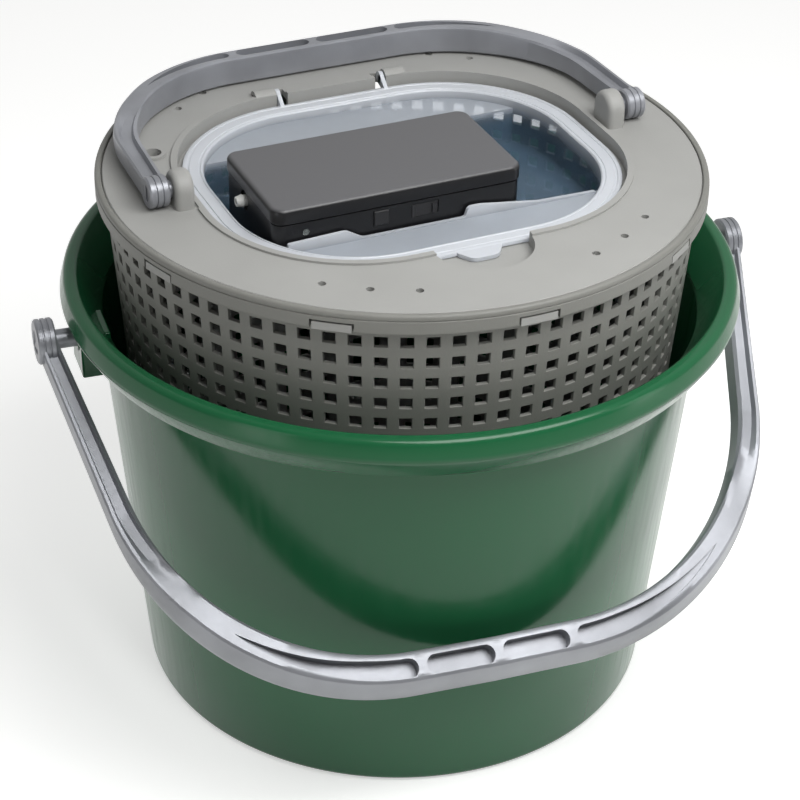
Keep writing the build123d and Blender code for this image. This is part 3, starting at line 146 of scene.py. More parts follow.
class PumpSettings(bpy.types.PropertyGroup):
    """Finish of the air pump."""

    top_colour: colour_code("Top", "sRGB hex of the cover's face", "#5b5b5d")
    side_colour: colour_code("Sides", "sRGB hex of the cover's sides", "#19191b")
    case_colour: colour_code("Case", "sRGB hex of the lower case", "#131315")


class StageSettings(bpy.types.PropertyGroup):
    """Camera and studio, with the camera's place fitted to the photograph's view."""

    azimuth: number("Azimuth", "Degrees from the front", -24.6)
    elevation: number("Elevation", "Degrees above level", 32.96)
    roll: number("Roll", "Degrees about the view axis", 1.082)
    distance: number("Distance", "Aim point to camera, mm", 1120.0)
    aim_height: number("Aim height", "Aim point above the floor, mm", 134.4)
    aim_right: number("Aim right", "Aim point's side step, mm", 1.035)
    lens: number("Lens", "Focal length on a 36 mm sensor", 102.8)
    floor_colour: colour_code("Floor", "sRGB hex of the floor", "#f4f4f2")


# ---------------------------------------------------------------- shape helpers
def round_corners(corners, closed=True, step=radians(9), steps=None):
    """Turns (x, y, radius) corners into points, with an arc at each corner that has a radius.

    steps, where it is given, is the count of chords in every arc.
    """
    points = []
    last = len(corners) - 1
    for index, (x, y, radius) in enumerate(corners):
        here = Vector((x, y))
        if not radius or (not closed and index in (0, last)):
            points.append(here)
            continue
        before = (Vector(corners[index - 1][:2]) - here).normalized()
        after = (Vector(corners[(index + 1) % (last + 1)][:2]) - here).normalized()
        half = before.angle(after) / 2
        centre = here + (before + after).normalized() * radius / sin(half)
        spoke = here + before * radius / tan(half) - centre
        turn = pi - 2 * half
        side = 1 if before.x * after.y - before.y * after.x < 0 else -1
        count = steps or max(2, ceil(turn / step))
        for k in range(count + 1):
            points.append(centre + Matrix.Rotation(side * turn * k / count, 2) @ spoke)
    return points


def spin_outline(bm, outline, steps, closed=False):
    """Turns an outline of (radius, z) points about the Z axis."""
    verts = [bm.verts.new((point[0], 0, point[1])) for point in outline]
    edges = [bm.edges.new(pair) for pair in zip(verts, verts[1:])]
    if closed:
        edges.append(bm.edges.new((verts[-1], verts[0])))
    bmesh.ops.spin(
        bm, geom=verts + edges, cent=(0, 0, 0), axis=(0, 0, 1), angle=tau, steps=steps, use_merge=True
    )
    bmesh.ops.remove_doubles(bm, verts=bm.verts, dist=1e-4)


def box(bm, x, y, z):
    """A box between the low and high values of each axis; gives its vertices."""
    centre = Matrix.Translation([(side[0] + side[1]) / 2 for side in (x, y, z)])
    size = Matrix.Diagonal([side[1] - side[0] for side in (x, y, z)] + [1])
    return bmesh.ops.create_cube(bm, size=1, matrix=centre @ size)["verts"]


def bridge(bm, rows):
    """Quads between closed rows of vertices that have equal counts."""
    for low, high in zip(rows, rows[1:]):
        for k in range(len(low)):
            after = (k + 1) % len(low)
            bm.faces.new((low[k], low[after], high[after], high[k]))


def add_row(bm, points):
    """A row of vertices at (x, y, z) points."""
    return [bm.verts.new(point) for point in points]


def slab(bm, points, step):
    """A closed slab: an outline of (x, y, z) points drawn out by a step, its faces outwards."""
    verts = add_row(bm, points)
    drawn = bmesh.ops.extrude_face_region(bm, geom=[bm.faces.new(verts)])
    moved = [item for item in drawn["geom"] if isinstance(item, bmesh.types.BMVert)]
    bmesh.ops.translate(bm, verts=moved, vec=step)
    faces = {face for vert in verts + moved for face in vert.link_faces}
    bmesh.ops.recalc_face_normals(bm, faces=list(faces))


def join_part(bm, part):
    """Moves a closed part into a bmesh, its faces outwards."""
    bmesh.ops.recalc_face_normals(part, faces=part.faces)
    mesh = bpy.data.meshes.new("part")
    part.to_mesh(mesh)
    part.free()
    bm.from_mesh(mesh)


def shade(mesh):
    """Smooth faces, with the edges sharper than the crisp angle kept."""
    bm = bmesh.new()
    bm.from_mesh(mesh)
    for face in bm.faces:
        face.smooth = True
    for edge in bm.edges:
        edge.smooth = len(edge.link_faces) != 2 or edge.calc_face_angle(0) < CRISP_ANGLE
    bm.to_mesh(mesh)
    bm.free()


def finish_piece(bm, name, body, material, nodes=(), solid=True):
    """Writes a bmesh in millimetres to a metre-sized object that rides on its body."""
    if solid:
        bmesh.ops.recalc_face_normals(bm, faces=bm.faces)
    bmesh.ops.scale(bm, vec=(MM, MM, MM), verts=bm.verts)
    return place_piece(bm, name, body, material, nodes)


def place_piece(bm, name, body, material, nodes):
    """Writes a bmesh in metres to an object that rides on its body and stands for its nodes."""
    mesh = bpy.data.meshes.new(name)
    bm.to_mesh(mesh)
    bm.free()
    shade(mesh)
    piece = bpy.data.objects.new(name, mesh)
    bpy.context.scene.collection.objects.link(piece)
    mesh.materials.append(material)
    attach(piece, body)
    if nodes:
        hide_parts(*nodes)
    return piece


def add_bevel(piece, width, segments=2, angle=35):
    """Rounds the piece's crisp edges by a width in millimetres."""
    bevel = piece.modifiers.new("edge", "BEVEL")
    bevel.width = width * MM
    bevel.segments = segments
    bevel.limit_method = "ANGLE"
    bevel.angle_limit = radians(angle)
    bevel.harden_normals = True


def apply_modifiers(piece):
    """Bakes the piece's modifiers into its mesh."""
    view = bpy.context.evaluated_depsgraph_get()
    mesh = bpy.data.meshes.new_from_object(piece.evaluated_get(view))
    piece.modifiers.clear()
    piece.data = mesh


def carve(piece, bm):
    """Cuts a bmesh in millimetres out of a finished piece."""
    bmesh.ops.recalc_face_normals(bm, faces=bm.faces)
    bmesh.ops.scale(bm, vec=(MM, MM, MM), verts=bm.verts)
    mesh = bpy.data.meshes.new("cutter")
    bm.to_mesh(mesh)
    bm.free()
    cutter = bpy.data.objects.new("cutter", mesh)
    bpy.context.scene.collection.objects.link(cutter)
    cut = piece.modifiers.new("cut", "BOOLEAN")
    cut.object = cutter
    cut.operation = "DIFFERENCE"
    cut.solver = "EXACT"
    apply_modifiers(piece)
    bpy.data.objects.remove(cutter)
    shade(piece.data)


def eased_copy(node, name, body, material, width):
    """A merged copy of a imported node, with its edges rounded by a width, standing for that node."""
    bm = bmesh.new()
    bm.from_mesh(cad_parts[node].data)
    bmesh.ops.remove_doubles(bm, verts=bm.verts, dist=2e-6)
    bmesh.ops.dissolve_limit(
        bm, angle_limit=radians(0.6), verts=bm.verts, edges=bm.edges, use_dissolve_boundaries=False
    )
    piece = place_piece(bm, name, body, material, [node])
    if width:
        add_bevel(piece, width, angle=30)
    return piece


# ---------------------------------------------------------------- material helpers
def linear(code):
    """The linear colour of an sRGB hex code, opaque."""
    parts = [int(code[k : k + 2], 16) / 255 for k in (1, 3, 5)]
    return [c / 12.92 if c <= 0.04045 else ((c + 0.055) / 1.055) ** 2.4 for c in parts] + [1.0]


def add_node(tree, kind, settings=None, links=None):
    """One shader node, with its settings and what feeds it; a number names a socket by place."""
    node = tree.nodes.new(kind)
    for key, value in (settings or {}).items():
        if isinstance(key, int) or key in node.inputs:
            node.inputs[key].default_value = value
        else:
            setattr(node, key, value)
    for key, source in (links or {}).items():
        tree.links.new(source, node.inputs[key])
    return node


def start_material(name):
    """An empty node material with its output and the object's own coordinates."""
    material = bpy.data.materials.new(name)
    material.use_nodes = True
    tree = material.node_tree
    tree.nodes.clear()
    output = add_node(tree, "ShaderNodeOutputMaterial")
    place = add_node(tree, "ShaderNodeTexCoord").outputs["Object"]
    return material, tree, output, place


def shades(code, amount):
    """The hex colour made lighter or darker by a share of its value."""
    parts = [min(255, round(int(code[k : k + 2], 16) * amount)) for k in (1, 3, 5)]
    return "#" + "".join(f"{part:02x}" for part in parts)


def moulded_plastic(name, colour, roughness, grain, height, mottle=0.05, settings=None):
    """Injection-moulded plastic: an eroded mould's grain, and faint mottling where it flowed.

    grain is the texture's spacing and height its depth, both in millimetres.
    """
    material, tree, output, place = start_material(name)
    flow = add_node(tree, "ShaderNodeTexNoise", {"Scale": 22.0, "Detail": 3.0}, {"Vector": place})
    dark, light = linear(shades(colour, 1 - mottle)), linear(shades(colour, 1 + mottle))
    tone = add_node(
        tree, "ShaderNodeMix", {"data_type": "RGBA", "A": dark, "B": light}, {"Factor": flow.outputs["Fac"]}
    )
    fine = add_node(
        tree, "ShaderNodeTexNoise", {"Scale": 1000 / grain, "Detail": 2.0}, {"Vector": place}
    )
    sheen = add_node(
        tree, "ShaderNodeMapRange", {"To Min": roughness * 0.88, "To Max": roughness * 1.14},
        {"Value": fine.outputs["Fac"]},
    )
    bump = add_node(
        tree, "ShaderNodeBump", {"Strength": 1.0, "Distance": height * MM}, {"Height": fine.outputs["Fac"]}
    )
    finish_material(tree, output, settings, tone, sheen, bump)
    return material


def mix_colour(mix):
    """The colour socket of a Mix node."""
    return next(socket for socket in mix.outputs if socket.type == "RGBA")


def seen_directly(tree, kinds):
    """1 for rays of the given kinds that haven't bounced off a matt surface, else 0."""
    rays = add_node(tree, "ShaderNodeLightPath").outputs
    seen = rays[kinds[0]]
    for kind in kinds[1:]:
        seen = add_node(tree, "ShaderNodeMath", {"operation": "MAXIMUM"}, {0: seen, 1: rays[kind]}).outputs[0]
    first = add_node(
        tree, "ShaderNodeMath", {"operation": "LESS_THAN", 1: 0.5}, {0: rays["Diffuse Depth"]}
    )
    both = add_node(tree, "ShaderNodeMath", {"operation": "MULTIPLY"}, {0: seen, 1: first.outputs[0]})
    return both.outputs[0]


def finish_material(tree, output, settings, tone, roughness, bump):
    """Ends a material with one shader fed by a colour mix, a roughness node and a bump node."""
    feeds = {"Base Color": mix_colour(tone), "Roughness": roughness.outputs["Result"]}
    feeds["Normal"] = bump.outputs["Normal"]
    shader = add_node(tree, "ShaderNodeBsdfPrincipled", settings, feeds)
    tree.links.new(shader.outputs["BSDF"], output.inputs["Surface"])


def gloss_green_polypropylene(colour):
    """Polypropylene from a polished mould: a mirror-like skin that waves a little, and
    faint vertical drag marks where the bucket slid off its core."""
    material, tree, output, place = start_material("gloss_green_polypropylene")
    flow = add_node(tree, "ShaderNodeTexNoise", {"Scale": 9.0, "Detail": 4.0}, {"Vector": place})
    tone = add_node(
        tree, "ShaderNodeMix",
        {"data_type": "RGBA", "A": linear(shades(colour, 0.95)), "B": linear(shades(colour, 1.06))},
        {"Factor": flow.outputs["Fac"]},
    )
    drag_place = add_node(tree, "ShaderNodeMapping", {"Scale": (260.0, 260.0, 9.0)}, {"Vector": place})
    drag = add_node(
        tree, "ShaderNodeTexNoise", {"Scale": 1.0, "Detail": 3.0}, {"Vector": drag_place.outputs["Vector"]}
    )
    gloss = add_node(
        tree, "ShaderNodeMapRange", {"From Min": 0.35, "From Max": 0.8, "To Min": 0.16, "To Max": 0.27},
        {"Value": drag.outputs["Fac"]},
    )
    wave = add_node(tree, "ShaderNodeTexNoise", {"Scale": 26.0, "Detail": 1.0}, {"Vector": place})
    bump = add_node(
        tree, "ShaderNodeBump", {"Strength": 0.5, "Distance": 0.12 * MM}, {"Height": wave.outputs["Fac"]}
    )
    finish_material(tree, output, {"IOR": 1.5, "Specular IOR Level": 0.34}, tone, gloss, bump)
    return material


# Heights, in millimetres, between which the hatch goes from clear to milky, and over which its blue tint
# fades out: painted light from above on the flange and shelves, and painted shade deep in the tray.
MILKY_AND_SHADE_BAND = (253.0, 262.0)
TINT_AND_SHADE_BAND = (250.0, 258.5)


def frosted_polypropylene_and_painted_shade(colour):
    """Natural polypropylene, frosted: milky and light in the flange and shelves, and clearer with a darker
    blue tint towards the tray's floor, set by height as painted light from above and painted shade deep in
    the tray."""
    material, tree, output, place = start_material("frosted_polypropylene_and_painted_shade")
    cloud = add_node(tree, "ShaderNodeTexNoise", {"Scale": 30.0, "Detail": 4.0}, {"Vector": place})
    haze = add_node(
        tree, "ShaderNodeMapRange", {"To Min": 0.05, "To Max": 0.10}, {"Value": cloud.outputs["Fac"]}
    )
    fine = add_node(tree, "ShaderNodeTexNoise", {"Scale": 900.0, "Detail": 1.0}, {"Vector": place})
    bump = add_node(
        tree, "ShaderNodeBump", {"Strength": 0.3, "Distance": 0.03 * MM}, {"Height": fine.outputs["Fac"]}
    )
    clear = add_node(
        tree, "ShaderNodeBsdfPrincipled",
        {"Base Color": linear(shades(colour, 0.86)), "IOR": 1.12, "Transmission Weight": 1.0},
        {"Roughness": haze.outputs["Result"], "Normal": bump.outputs["Normal"]},
    )
    height = add_node(tree, "ShaderNodeSeparateXYZ", None, {"Vector": place}).outputs["Z"]
    milky_and_shade_band, tint_and_shade_band = (
        {"From Min": low * MM, "From Max": high * MM} for low, high in (MILKY_AND_SHADE_BAND, TINT_AND_SHADE_BAND)
    )
    # Painted light and shade: the milky share rises with height, so the flange and shelves read lit from
    # above and the tray's floor reads darker, as painted shade.
    milky_share_and_painted_shade = add_node(
        tree, "ShaderNodeMapRange", {**milky_and_shade_band, "To Min": 0.17, "To Max": 0.72}, {"Value": height}
    )
    # Painted shade: the tint deepens to a darker blue towards the tray's floor.
    tint_share_and_painted_shade = add_node(tree, "ShaderNodeMapRange", tint_and_shade_band, {"Value": height})
    tint = add_node(
        tree, "ShaderNodeMix", {"data_type": "RGBA", "A": linear("#8fb4d2"), "B": linear(colour)},
        {"Factor": tint_share_and_painted_shade.outputs["Result"]},
    )
    milky = add_node(
        tree, "ShaderNodeBsdfPrincipled", {"Roughness": 0.3, "IOR": 1.49},
        {"Base Color": mix_colour(tint), "Normal": bump.outputs["Normal"]},
    )
    mottle = add_node(
        tree, "ShaderNodeMapRange", {"To Min": -0.05, "To Max": 0.05}, {"Value": cloud.outputs["Fac"]}
    )
    parts = {0: milky_share_and_painted_shade.outputs["Result"], 1: mottle.outputs["Result"]}
    share = add_node(tree, "ShaderNodeMath", {"operation": "ADD"}, parts)
    both = add_node(
        tree, "ShaderNodeMixShader", None,
        {0: share.outputs[0], 1: clear.outputs["BSDF"], 2: milky.outputs["BSDF"]},
    )
    tree.links.new(both.outputs["Shader"], output.inputs["Surface"])
    return material


# Depths under the cover's face, in millimetres, between which the etch fades out at its edge.
ETCH_DEPTH = (1.2, 0.1)


def etched_top_abs(top, sides):
    """Black ABS with an etched top face that scatters light and glossier, darker sides."""
    material, tree, output, place = start_material("etched_top_abs")
    height = add_node(tree, "ShaderNodeSeparateXYZ", None, {"Vector": place}).outputs["Z"]
    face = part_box("pump_top_case")[1][2]
    edge = {"From Min": face - ETCH_DEPTH[0] * MM, "From Max": face - ETCH_DEPTH[1] * MM}
    share = add_node(tree, "ShaderNodeMapRange", edge, {"Value": height})
    tone = add_node(
        tree, "ShaderNodeMix", {"data_type": "RGBA", "A": linear(sides), "B": linear(top)},
        {"Factor": share.outputs["Result"]},
    )
    gloss = add_node(tree, "ShaderNodeMapRange", {**edge, "To Min": 0.3, "To Max": 0.5}, {"Value": height})
    etch = add_node(tree, "ShaderNodeTexNoise", {"Scale": 1500.0, "Detail": 2.0}, {"Vector": place})
    bump = add_node(tree, "ShaderNodeBump", {"Distance": 0.04 * MM}, {"Height": etch.outputs["Fac"]})
    finish_material(tree, output, {"IOR": 1.5}, tone, gloss, bump)
    return material


MATERIALS = {}


def make_materials():
    """Every finish of the object, by the name the pieces use."""
    scene = bpy.context.scene
    bucket, basket, lid, pump = scene.bait_bucket, scene.bait_basket, scene.bait_lid, scene.bait_pump
    MATERIALS["green"] = gloss_green_polypropylene(bucket.colour)
    # An eroded mould face: an even grain that scatters light and hides scratches. The basket is the lid's
    # plastic, coloured darker as painted shade on its upright band and wall inside the bucket.
    MATERIALS["basket"] = moulded_plastic("eroded_grey_polypropylene_with_painted_shade", basket.colour, 0.5, 1.1, 0.05)
    MATERIALS["lid"] = moulded_plastic("eroded_light_grey_polypropylene", lid.lid_colour, 0.55, 0.9, 0.05)
    # Pearl pigment in the melt: a soft metallic sheen with darker flow streaks.
    pearl = {"Metallic": 0.4, "IOR": 1.5}
    MATERIALS["handle"] = moulded_plastic(
        "pearl_silver_polypropylene", lid.handle_colour, 0.37, 2.4, 0.05, 0.28, pearl
    )
    MATERIALS["hatch"] = frosted_polypropylene_and_painted_shade(lid.hatch_colour)
    MATERIALS["pump_top"] = etched_top_abs(pump.top_colour, pump.side_colour)
    # ABS with a fine satin grain: it holds one broad, soft highlight.
    MATERIALS["pump_case"] = moulded_plastic("satin_black_abs", pump.case_colour, 0.36, 0.7, 0.03)
    # Silicone rubber: dull and slightly dusty.
    MATERIALS["rubber"] = moulded_plastic("black_silicone_rubber", "#242426", 0.62, 0.8, 0.03, 0.1)
    MATERIALS["black"] = moulded_plastic("black_nylon", "#1a1a1b", 0.45, 0.8, 0.03)
    # Rolled and plated steel: bright, with a fine rolled grain.
    steel = {"Metallic": 1.0}
    MATERIALS["steel"] = moulded_plastic("zinc_plated_steel", "#b8babd", 0.28, 0.6, 0.01, 0.06, steel)
    # Acetal: white, waxy and close to smooth.
    MATERIALS["acetal"] = moulded_plastic("white_acetal", "#dedfdb", 0.35, 1.5, 0.02, 0.02)
    MATERIALS["wrap"] = moulded_plastic("blue_shrink_wrap", "#27476f", 0.2, 3.0, 0.02, 0.08)
    # Glass-cloth laminate under a green lacquer.
    MATERIALS["board"] = moulded_plastic("green_laminate", "#1d5a36", 0.3, 0.5, 0.02, 0.12)
    MATERIALS["lead"] = moulded_plastic("red_vinyl", "#a01d1b", 0.35, 1.0, 0.02)
    # Pressed wool felt: fibres with no gloss.
    MATERIALS["felt"] = moulded_plastic("grey_wool_felt", "#8d8c86", 0.95, 0.25, 0.2, 0.2)
    clear = {"Transmission Weight": 0.85, "IOR": 1.49}
    MATERIALS["lens"] = moulded_plastic("clear_acrylic", "#d9e2e0", 0.1, 1.0, 0.005, 0.02, clear)


CAD_FINISHES = {
    "case_seal": "rubber", "case_screws": "steel", "rubber_feet": "rubber", "power_button": "rubber",
    "tact_switch": "black", "charge_socket": "steel", "charge_cover": "rubber", "indicator_lens": "lens",
    "battery_cells": "wrap", "cell_holder": "black", "battery_contacts": "steel",
    "circuit_board": "board", "motor": "steel", "motor_cradle": "black", "motor_shaft": "steel",
    "eccentric_wheel": "acetal", "pump_lever": "acetal", "lever_pin": "steel",
    "valve_block": "acetal", "valve_flaps": "rubber", "diaphragm": "rubber", "air_nozzle": "acetal",
    "intake_filter": "felt", "motor_leads": "lead",
}


# ---------------------------------------------------------------- bucket
def bucket_outline(bucket):
    """The bucket's closed wall outline, (radius, z, corner radius), from the foot outwards."""
    skirt_low = bucket.height - 20.4
    skirt = bucket.rim_radius - 6.7
    mouth = bucket.rim_radius - 5.5 - bucket.wall
    return [
        (0, 2, 0),
        (bucket.base_radius - 13, 2, 1),
        (bucket.base_radius - 11, 0, 1),
        (bucket.base_radius, 0, 4),
        (bucket.neck_radius, skirt_low + 1.4, 4),
        (mouth + 1.9, bucket.height - 3.9, 1),
        (bucket.rim_radius - 4.6, bucket.height - 3.9, 0.8),
        (bucket.rim_radius - bucket.wall - 0.2, bucket.height - 9.8, 2),
        (skirt - bucket.wall, skirt_low + 1, 0.5),
        (skirt, skirt_low, 0.5),
        (bucket.rim_radius, bucket.height - 9.5, 4),
        (bucket.rim_radius - bucket.wall, bucket.height, 3.5),
        (mouth, bucket.height, 2.5),
        (bucket.neck_radius - bucket.wall, skirt_low + 1.9, 6),
        (bucket.base_radius - bucket.wall, 5, 1.4),
        (0, 5, 0),
    ]


class BAIT_OT_bucket(bpy.types.Operator):
    """The green bucket with its rolled rim and two ears."""

    bl_idname = "bait.bucket"
    bl_label = "Bucket"

    def execute(self, context):
        bucket = context.scene.bait_bucket
        bm = bmesh.new()
        spin_outline(bm, round_corners(bucket_outline(bucket), closed=False), bucket.steps)
        finish_piece(bm, "bucket_shell", "bucket", MATERIALS["green"], ["bucket"])
        face, half = bucket.ear_face, bucket.ear_half
        ears = bmesh.new()
        for side in (-1, 1):
            x = sorted((side * (face - 14.1), side * face))
            box(ears, x, (-half, half), (bucket.ear_foot, bucket.ear_top))
            socket = Matrix.Translation((side * (face - 0.5), 0, bucket.pivot))
            socket @= Matrix.Rotation(pi / 2, 4, "Y")
            bmesh.ops.create_cone(
                ears, cap_ends=True, segments=40, radius1=7, radius2=6.4, depth=2.2, matrix=socket
            )
        bmesh.ops.rotate(ears, verts=ears.verts, matrix=Matrix.Rotation(radians(bucket.yaw), 3, "Z"))
        lugs = finish_piece(ears, "bucket_ears", "bucket", MATERIALS["green"])
        add_bevel(lugs, 1.0, 3)
        return {"FINISHED"}


# ---------------------------------------------------------------- basket
# The floor pan's rim height and thickness, and its drain holes: each ring's radius and count.
FLOOR_RIM, FLOOR_THICKNESS = 11.3, 2.5
DRAIN_RADIUS = 2.5
DRAIN_RINGS = ((32, 8), (62, 16), (92, 24))
# The collar's slots for the lid's hooks, and half a slot's width.
SNAP_COUNT, SNAP_HALF = 10, 9.5


def basket_radius(basket, z):
    """The basket wall's outer radius at a height."""
    share = (z - basket.floor) / (basket.wall_top - basket.floor)
    return basket.base_radius + (basket.top_radius - basket.base_radius) * share


def add_perforated_wall(bm, basket):
    """The wall's outer skin with a rectangular hole in every cell, one column at the front."""
    top = basket.top_row + basket.row_pitch / 2
    low = top - basket.rows * basket.row_pitch
    levels = [top - k * basket.row_pitch for k in range(basket.rows + 1)]
    levels = [basket.wall_top + 0.8] + levels + [basket.floor + FLOOR_RIM - 0.6]
    turn = tau / basket.columns
    outline = [(basket_radius(basket, z), z) for z in levels]
    spin_outline(bm, outline, basket.columns)
    bmesh.ops.rotate(bm, verts=bm.verts, matrix=Matrix.Rotation(-pi / 2 - turn / 2, 3, "Z"))
    bmesh.ops.recalc_face_normals(bm, faces=bm.faces)
    cells = [face for face in bm.faces if low < face.calc_center_median().z < top]
    bmesh.ops.inset_individual(bm, faces=cells, thickness=basket.web / 2, use_even_offset=True)
    bmesh.ops.delete(bm, geom=cells, context="FACES_ONLY")


class BAIT_OT_basket(bpy.types.Operator):
    """The perforated insert: wall, floor and collar."""

    bl_idname = "bait.basket"
    bl_label = "Basket"

    def execute(self, context):
        basket = context.scene.bait_basket
        bm = bmesh.new()
        add_perforated_wall(bm, basket)
        wall = finish_piece(
            bm, "basket_wall", "insert", MATERIALS["basket"], ["basket"], solid=False
        )
        skin = wall.modifiers.new("wall", "SOLIDIFY")
        skin.thickness = basket.wall * MM
        skin.offset = -1
        skin.use_even_offset = True
        add_bevel(wall, 0.3, 1, 50)
        self.add_floor(basket)
        self.add_collar(basket)
        return {"FINISHED"}

    def add_floor(self, basket):
        """The floor pan with its rings of drain holes."""
        low = basket.floor
        high = low + FLOOR_RIM
        radius = basket_radius(basket, high)
        outline = [
            (0, low, 0),
            (basket.base_radius, low, 5),
            (radius, high, 0),
            (radius - basket.wall, high, 0),
            (basket.base_radius - basket.wall, low + FLOOR_THICKNESS, 2.8),
            (0, low + FLOOR_THICKNESS, 0),
        ]
        bm = bmesh.new()
        spin_outline(bm, round_corners(outline, closed=False), 156)
        floor = finish_piece(bm, "basket_floor", "insert", MATERIALS["basket"])
        drains = bmesh.new()
        for ring, count in DRAIN_RINGS:
            for k in range(count):
                place = Matrix.Rotation(tau * k / count, 4, "Z") @ Matrix.Translation((0, -ring, low + 1.2))
                bmesh.ops.create_cone(
                    drains, cap_ends=True, segments=20, radius1=DRAIN_RADIUS, radius2=DRAIN_RADIUS, depth=8,
                    matrix=place,
                )
        carve(floor, drains)

    def add_collar(self, basket):
        """The collar band with its ledge for the lid and a slot for each of the lid's hooks."""
        ring, top = basket.collar_radius, basket.collar_top
        wall_top = basket.wall_top
        low, ledge = wall_top - 1.2, top - 3.7
        under, root = basket_radius(basket, wall_top), basket_radius(basket, low)
        outline = [
            (root, low, 0),
            (under, wall_top, 0.5),
            (ring, wall_top + 0.6, 0.9),
            (ring, top - 3.1, 0),
            (ring - 0.4, top - 2.85, 0),
            (ring - 0.4, top - 2.5, 0),
            (ring - 0.05, top - 2.2, 0),
            (ring - 0.05, top, 1.4),
            (ring - 3.0, top, 0.7),
            (ring - 3.0, ledge, 0),
            (ring - 8.0, ledge, 0),
            (under - basket.wall, wall_top + 1, 0),
            (root - basket.wall, low, 0),
        ]
        bm = bmesh.new()
        spin_outline(bm, round_corners(outline, step=radians(20)), 260, closed=True)
        collar = finish_piece(bm, "basket_collar", "insert", MATERIALS["basket"])
        slots = bmesh.new()
        for k in range(SNAP_COUNT):
            y = (-ring - 2.5, -ring + 10.5)
            slot = box(slots, (-SNAP_HALF, SNAP_HALF), y, (wall_top - 0.3, wall_top + 5))
            bmesh.ops.rotate(slots, verts=slot, matrix=Matrix.Rotation(tau * k / SNAP_COUNT, 3, "Z"))
        carve(collar, slots)


# ---------------------------------------------------------------- lid, hatch, handles
class BAIT_OT_lid(bpy.types.Operator):
    """The lid, with its recess, bosses, vents and hooks."""

    bl_idname = "bait.lid"
    bl_label = "Lid"

    def execute(self, context):
        lid = context.scene.bait_lid
        cover = eased_copy("lid", "lid_cover", "insert", MATERIALS["lid"], 0)
        solids = bmesh.new()
        for side in (-1, 1):
            x = sorted((side * (lid.boss_face - 1), side * (lid.boss_face + lid.boss_width + 1)))
            half = lid.boss_radius + 1
            box(solids, x, (-half, half), (lid.boss_foot + 0.9, lid.pivot + 9.8))
        carve(cover, solids)
        add_bevel(cover, lid.edge, angle=30)
        bosses = bmesh.new()
        for side in (-1, 1):
            self.add_boss(bosses, lid, side)
        finish_piece(bosses, "lid_bosses", "insert", MATERIALS["lid"])
        return {"FINISHED"}

    def add_boss(self, bm, lid, side):
        """A bullet-shaped boss that holds the end of the handle's pin."""
        radius, foot = lid.boss_radius, lid.boss_foot
        arc = [(radius * cos(pi * k / 20), lid.pivot + radius * sin(pi * k / 20)) for k in range(21)]
        outline = [(radius, foot), *arc, (-radius, foot)]
        part = bmesh.new()
        slab(part, [(lid.boss_face, y, z) for y, z in outline], (lid.boss_width, 0, 0))
        rims = [edge for edge in part.edges if abs(edge.verts[0].co.x - edge.verts[1].co.x) < 1e-6]
        rims = [edge for edge in rims if max(vert.co.z for vert in edge.verts) > foot + 0.1]
        bmesh.ops.bevel(part, geom=rims, offset=2.6, segments=4, profile=0.5, affect="EDGES", material=-1)
        bmesh.ops.transform(part, matrix=Matrix.Diagonal((side, 1, 1, 1)), verts=part.verts)
        join_part(bm, part)


def hatch_loop(hatch, inset, splits, z):
    """The hatch's plan shape at an inset and a height, with a point where a split line crosses."""
    x, y, corner = hatch.length / 2 - inset, hatch.width / 2 - inset, hatch.corner - inset
    corners = [(x, -y, corner), (x, y, corner), (-x, y, corner), (-x, -y, corner)]
    points = [Vector((point[0], point[1], z)) for point in round_corners(corners, steps=22)]
    loop = []
    for here, after in zip(points, points[1:] + points[:1]):
        loop.append(here)
        crossings = [split for split in splits if min(here.y, after.y) < split < max(here.y, after.y)]
        for split in sorted(crossings, reverse=here.y > after.y):
            loop.append(here.lerp(after, (split - here.y) / (after.y - here.y)))
    return loop


def add_pan_skin(bm, rim, loop, splits, shelf, floor):
    """One skin of the pan: its side wall, a shelf at each end and the sunk tray between."""
    level = add_row(bm, [(point.x, point.y, shelf) for point in loop])
    bridge(bm, [rim, level])
    near = [k for k, vert in enumerate(level) if vert.co.y <= splits[0] + 1e-4]
    far = [k for k, vert in enumerate(level) if vert.co.y >= splits[1] - 1e-4]
    for part in (near, far):
        first = next((k for k in part if (k - 1) % len(level) not in part), part[0])
        ordered = [(first + k) % len(level) for k in range(len(part))]
        bm.faces.new([level[k] for k in ordered])
    inside = [k for k, vert in enumerate(level) if splits[0] - 1e-4 <= vert.co.y <= splits[1] + 1e-4]
    tray = [level[k] for k in inside]
    easing = 2.0
    centre = Vector((0, (splits[0] + splits[1]) / 2, 0))
    low = add_row(bm, [(vert.co.x, vert.co.y, floor + easing) for vert in tray])
    mid = add_row(bm, [ease_in(vert.co, centre, easing * 0.3, floor + easing * 0.3) for vert in tray])
    base = add_row(bm, [ease_in(vert.co, centre, easing, floor) for vert in tray])
    bridge(bm, [tray, low, mid, base])
    bm.faces.new(base)


def ease_in(point, centre, step, z):
    """The point drawn in towards the centre by a step and set at a height."""
    inward = Vector((centre.x - point.x, centre.y - point.y, 0)).normalized() * step
    return (point.x + inward.x, point.y + inward.y, z)


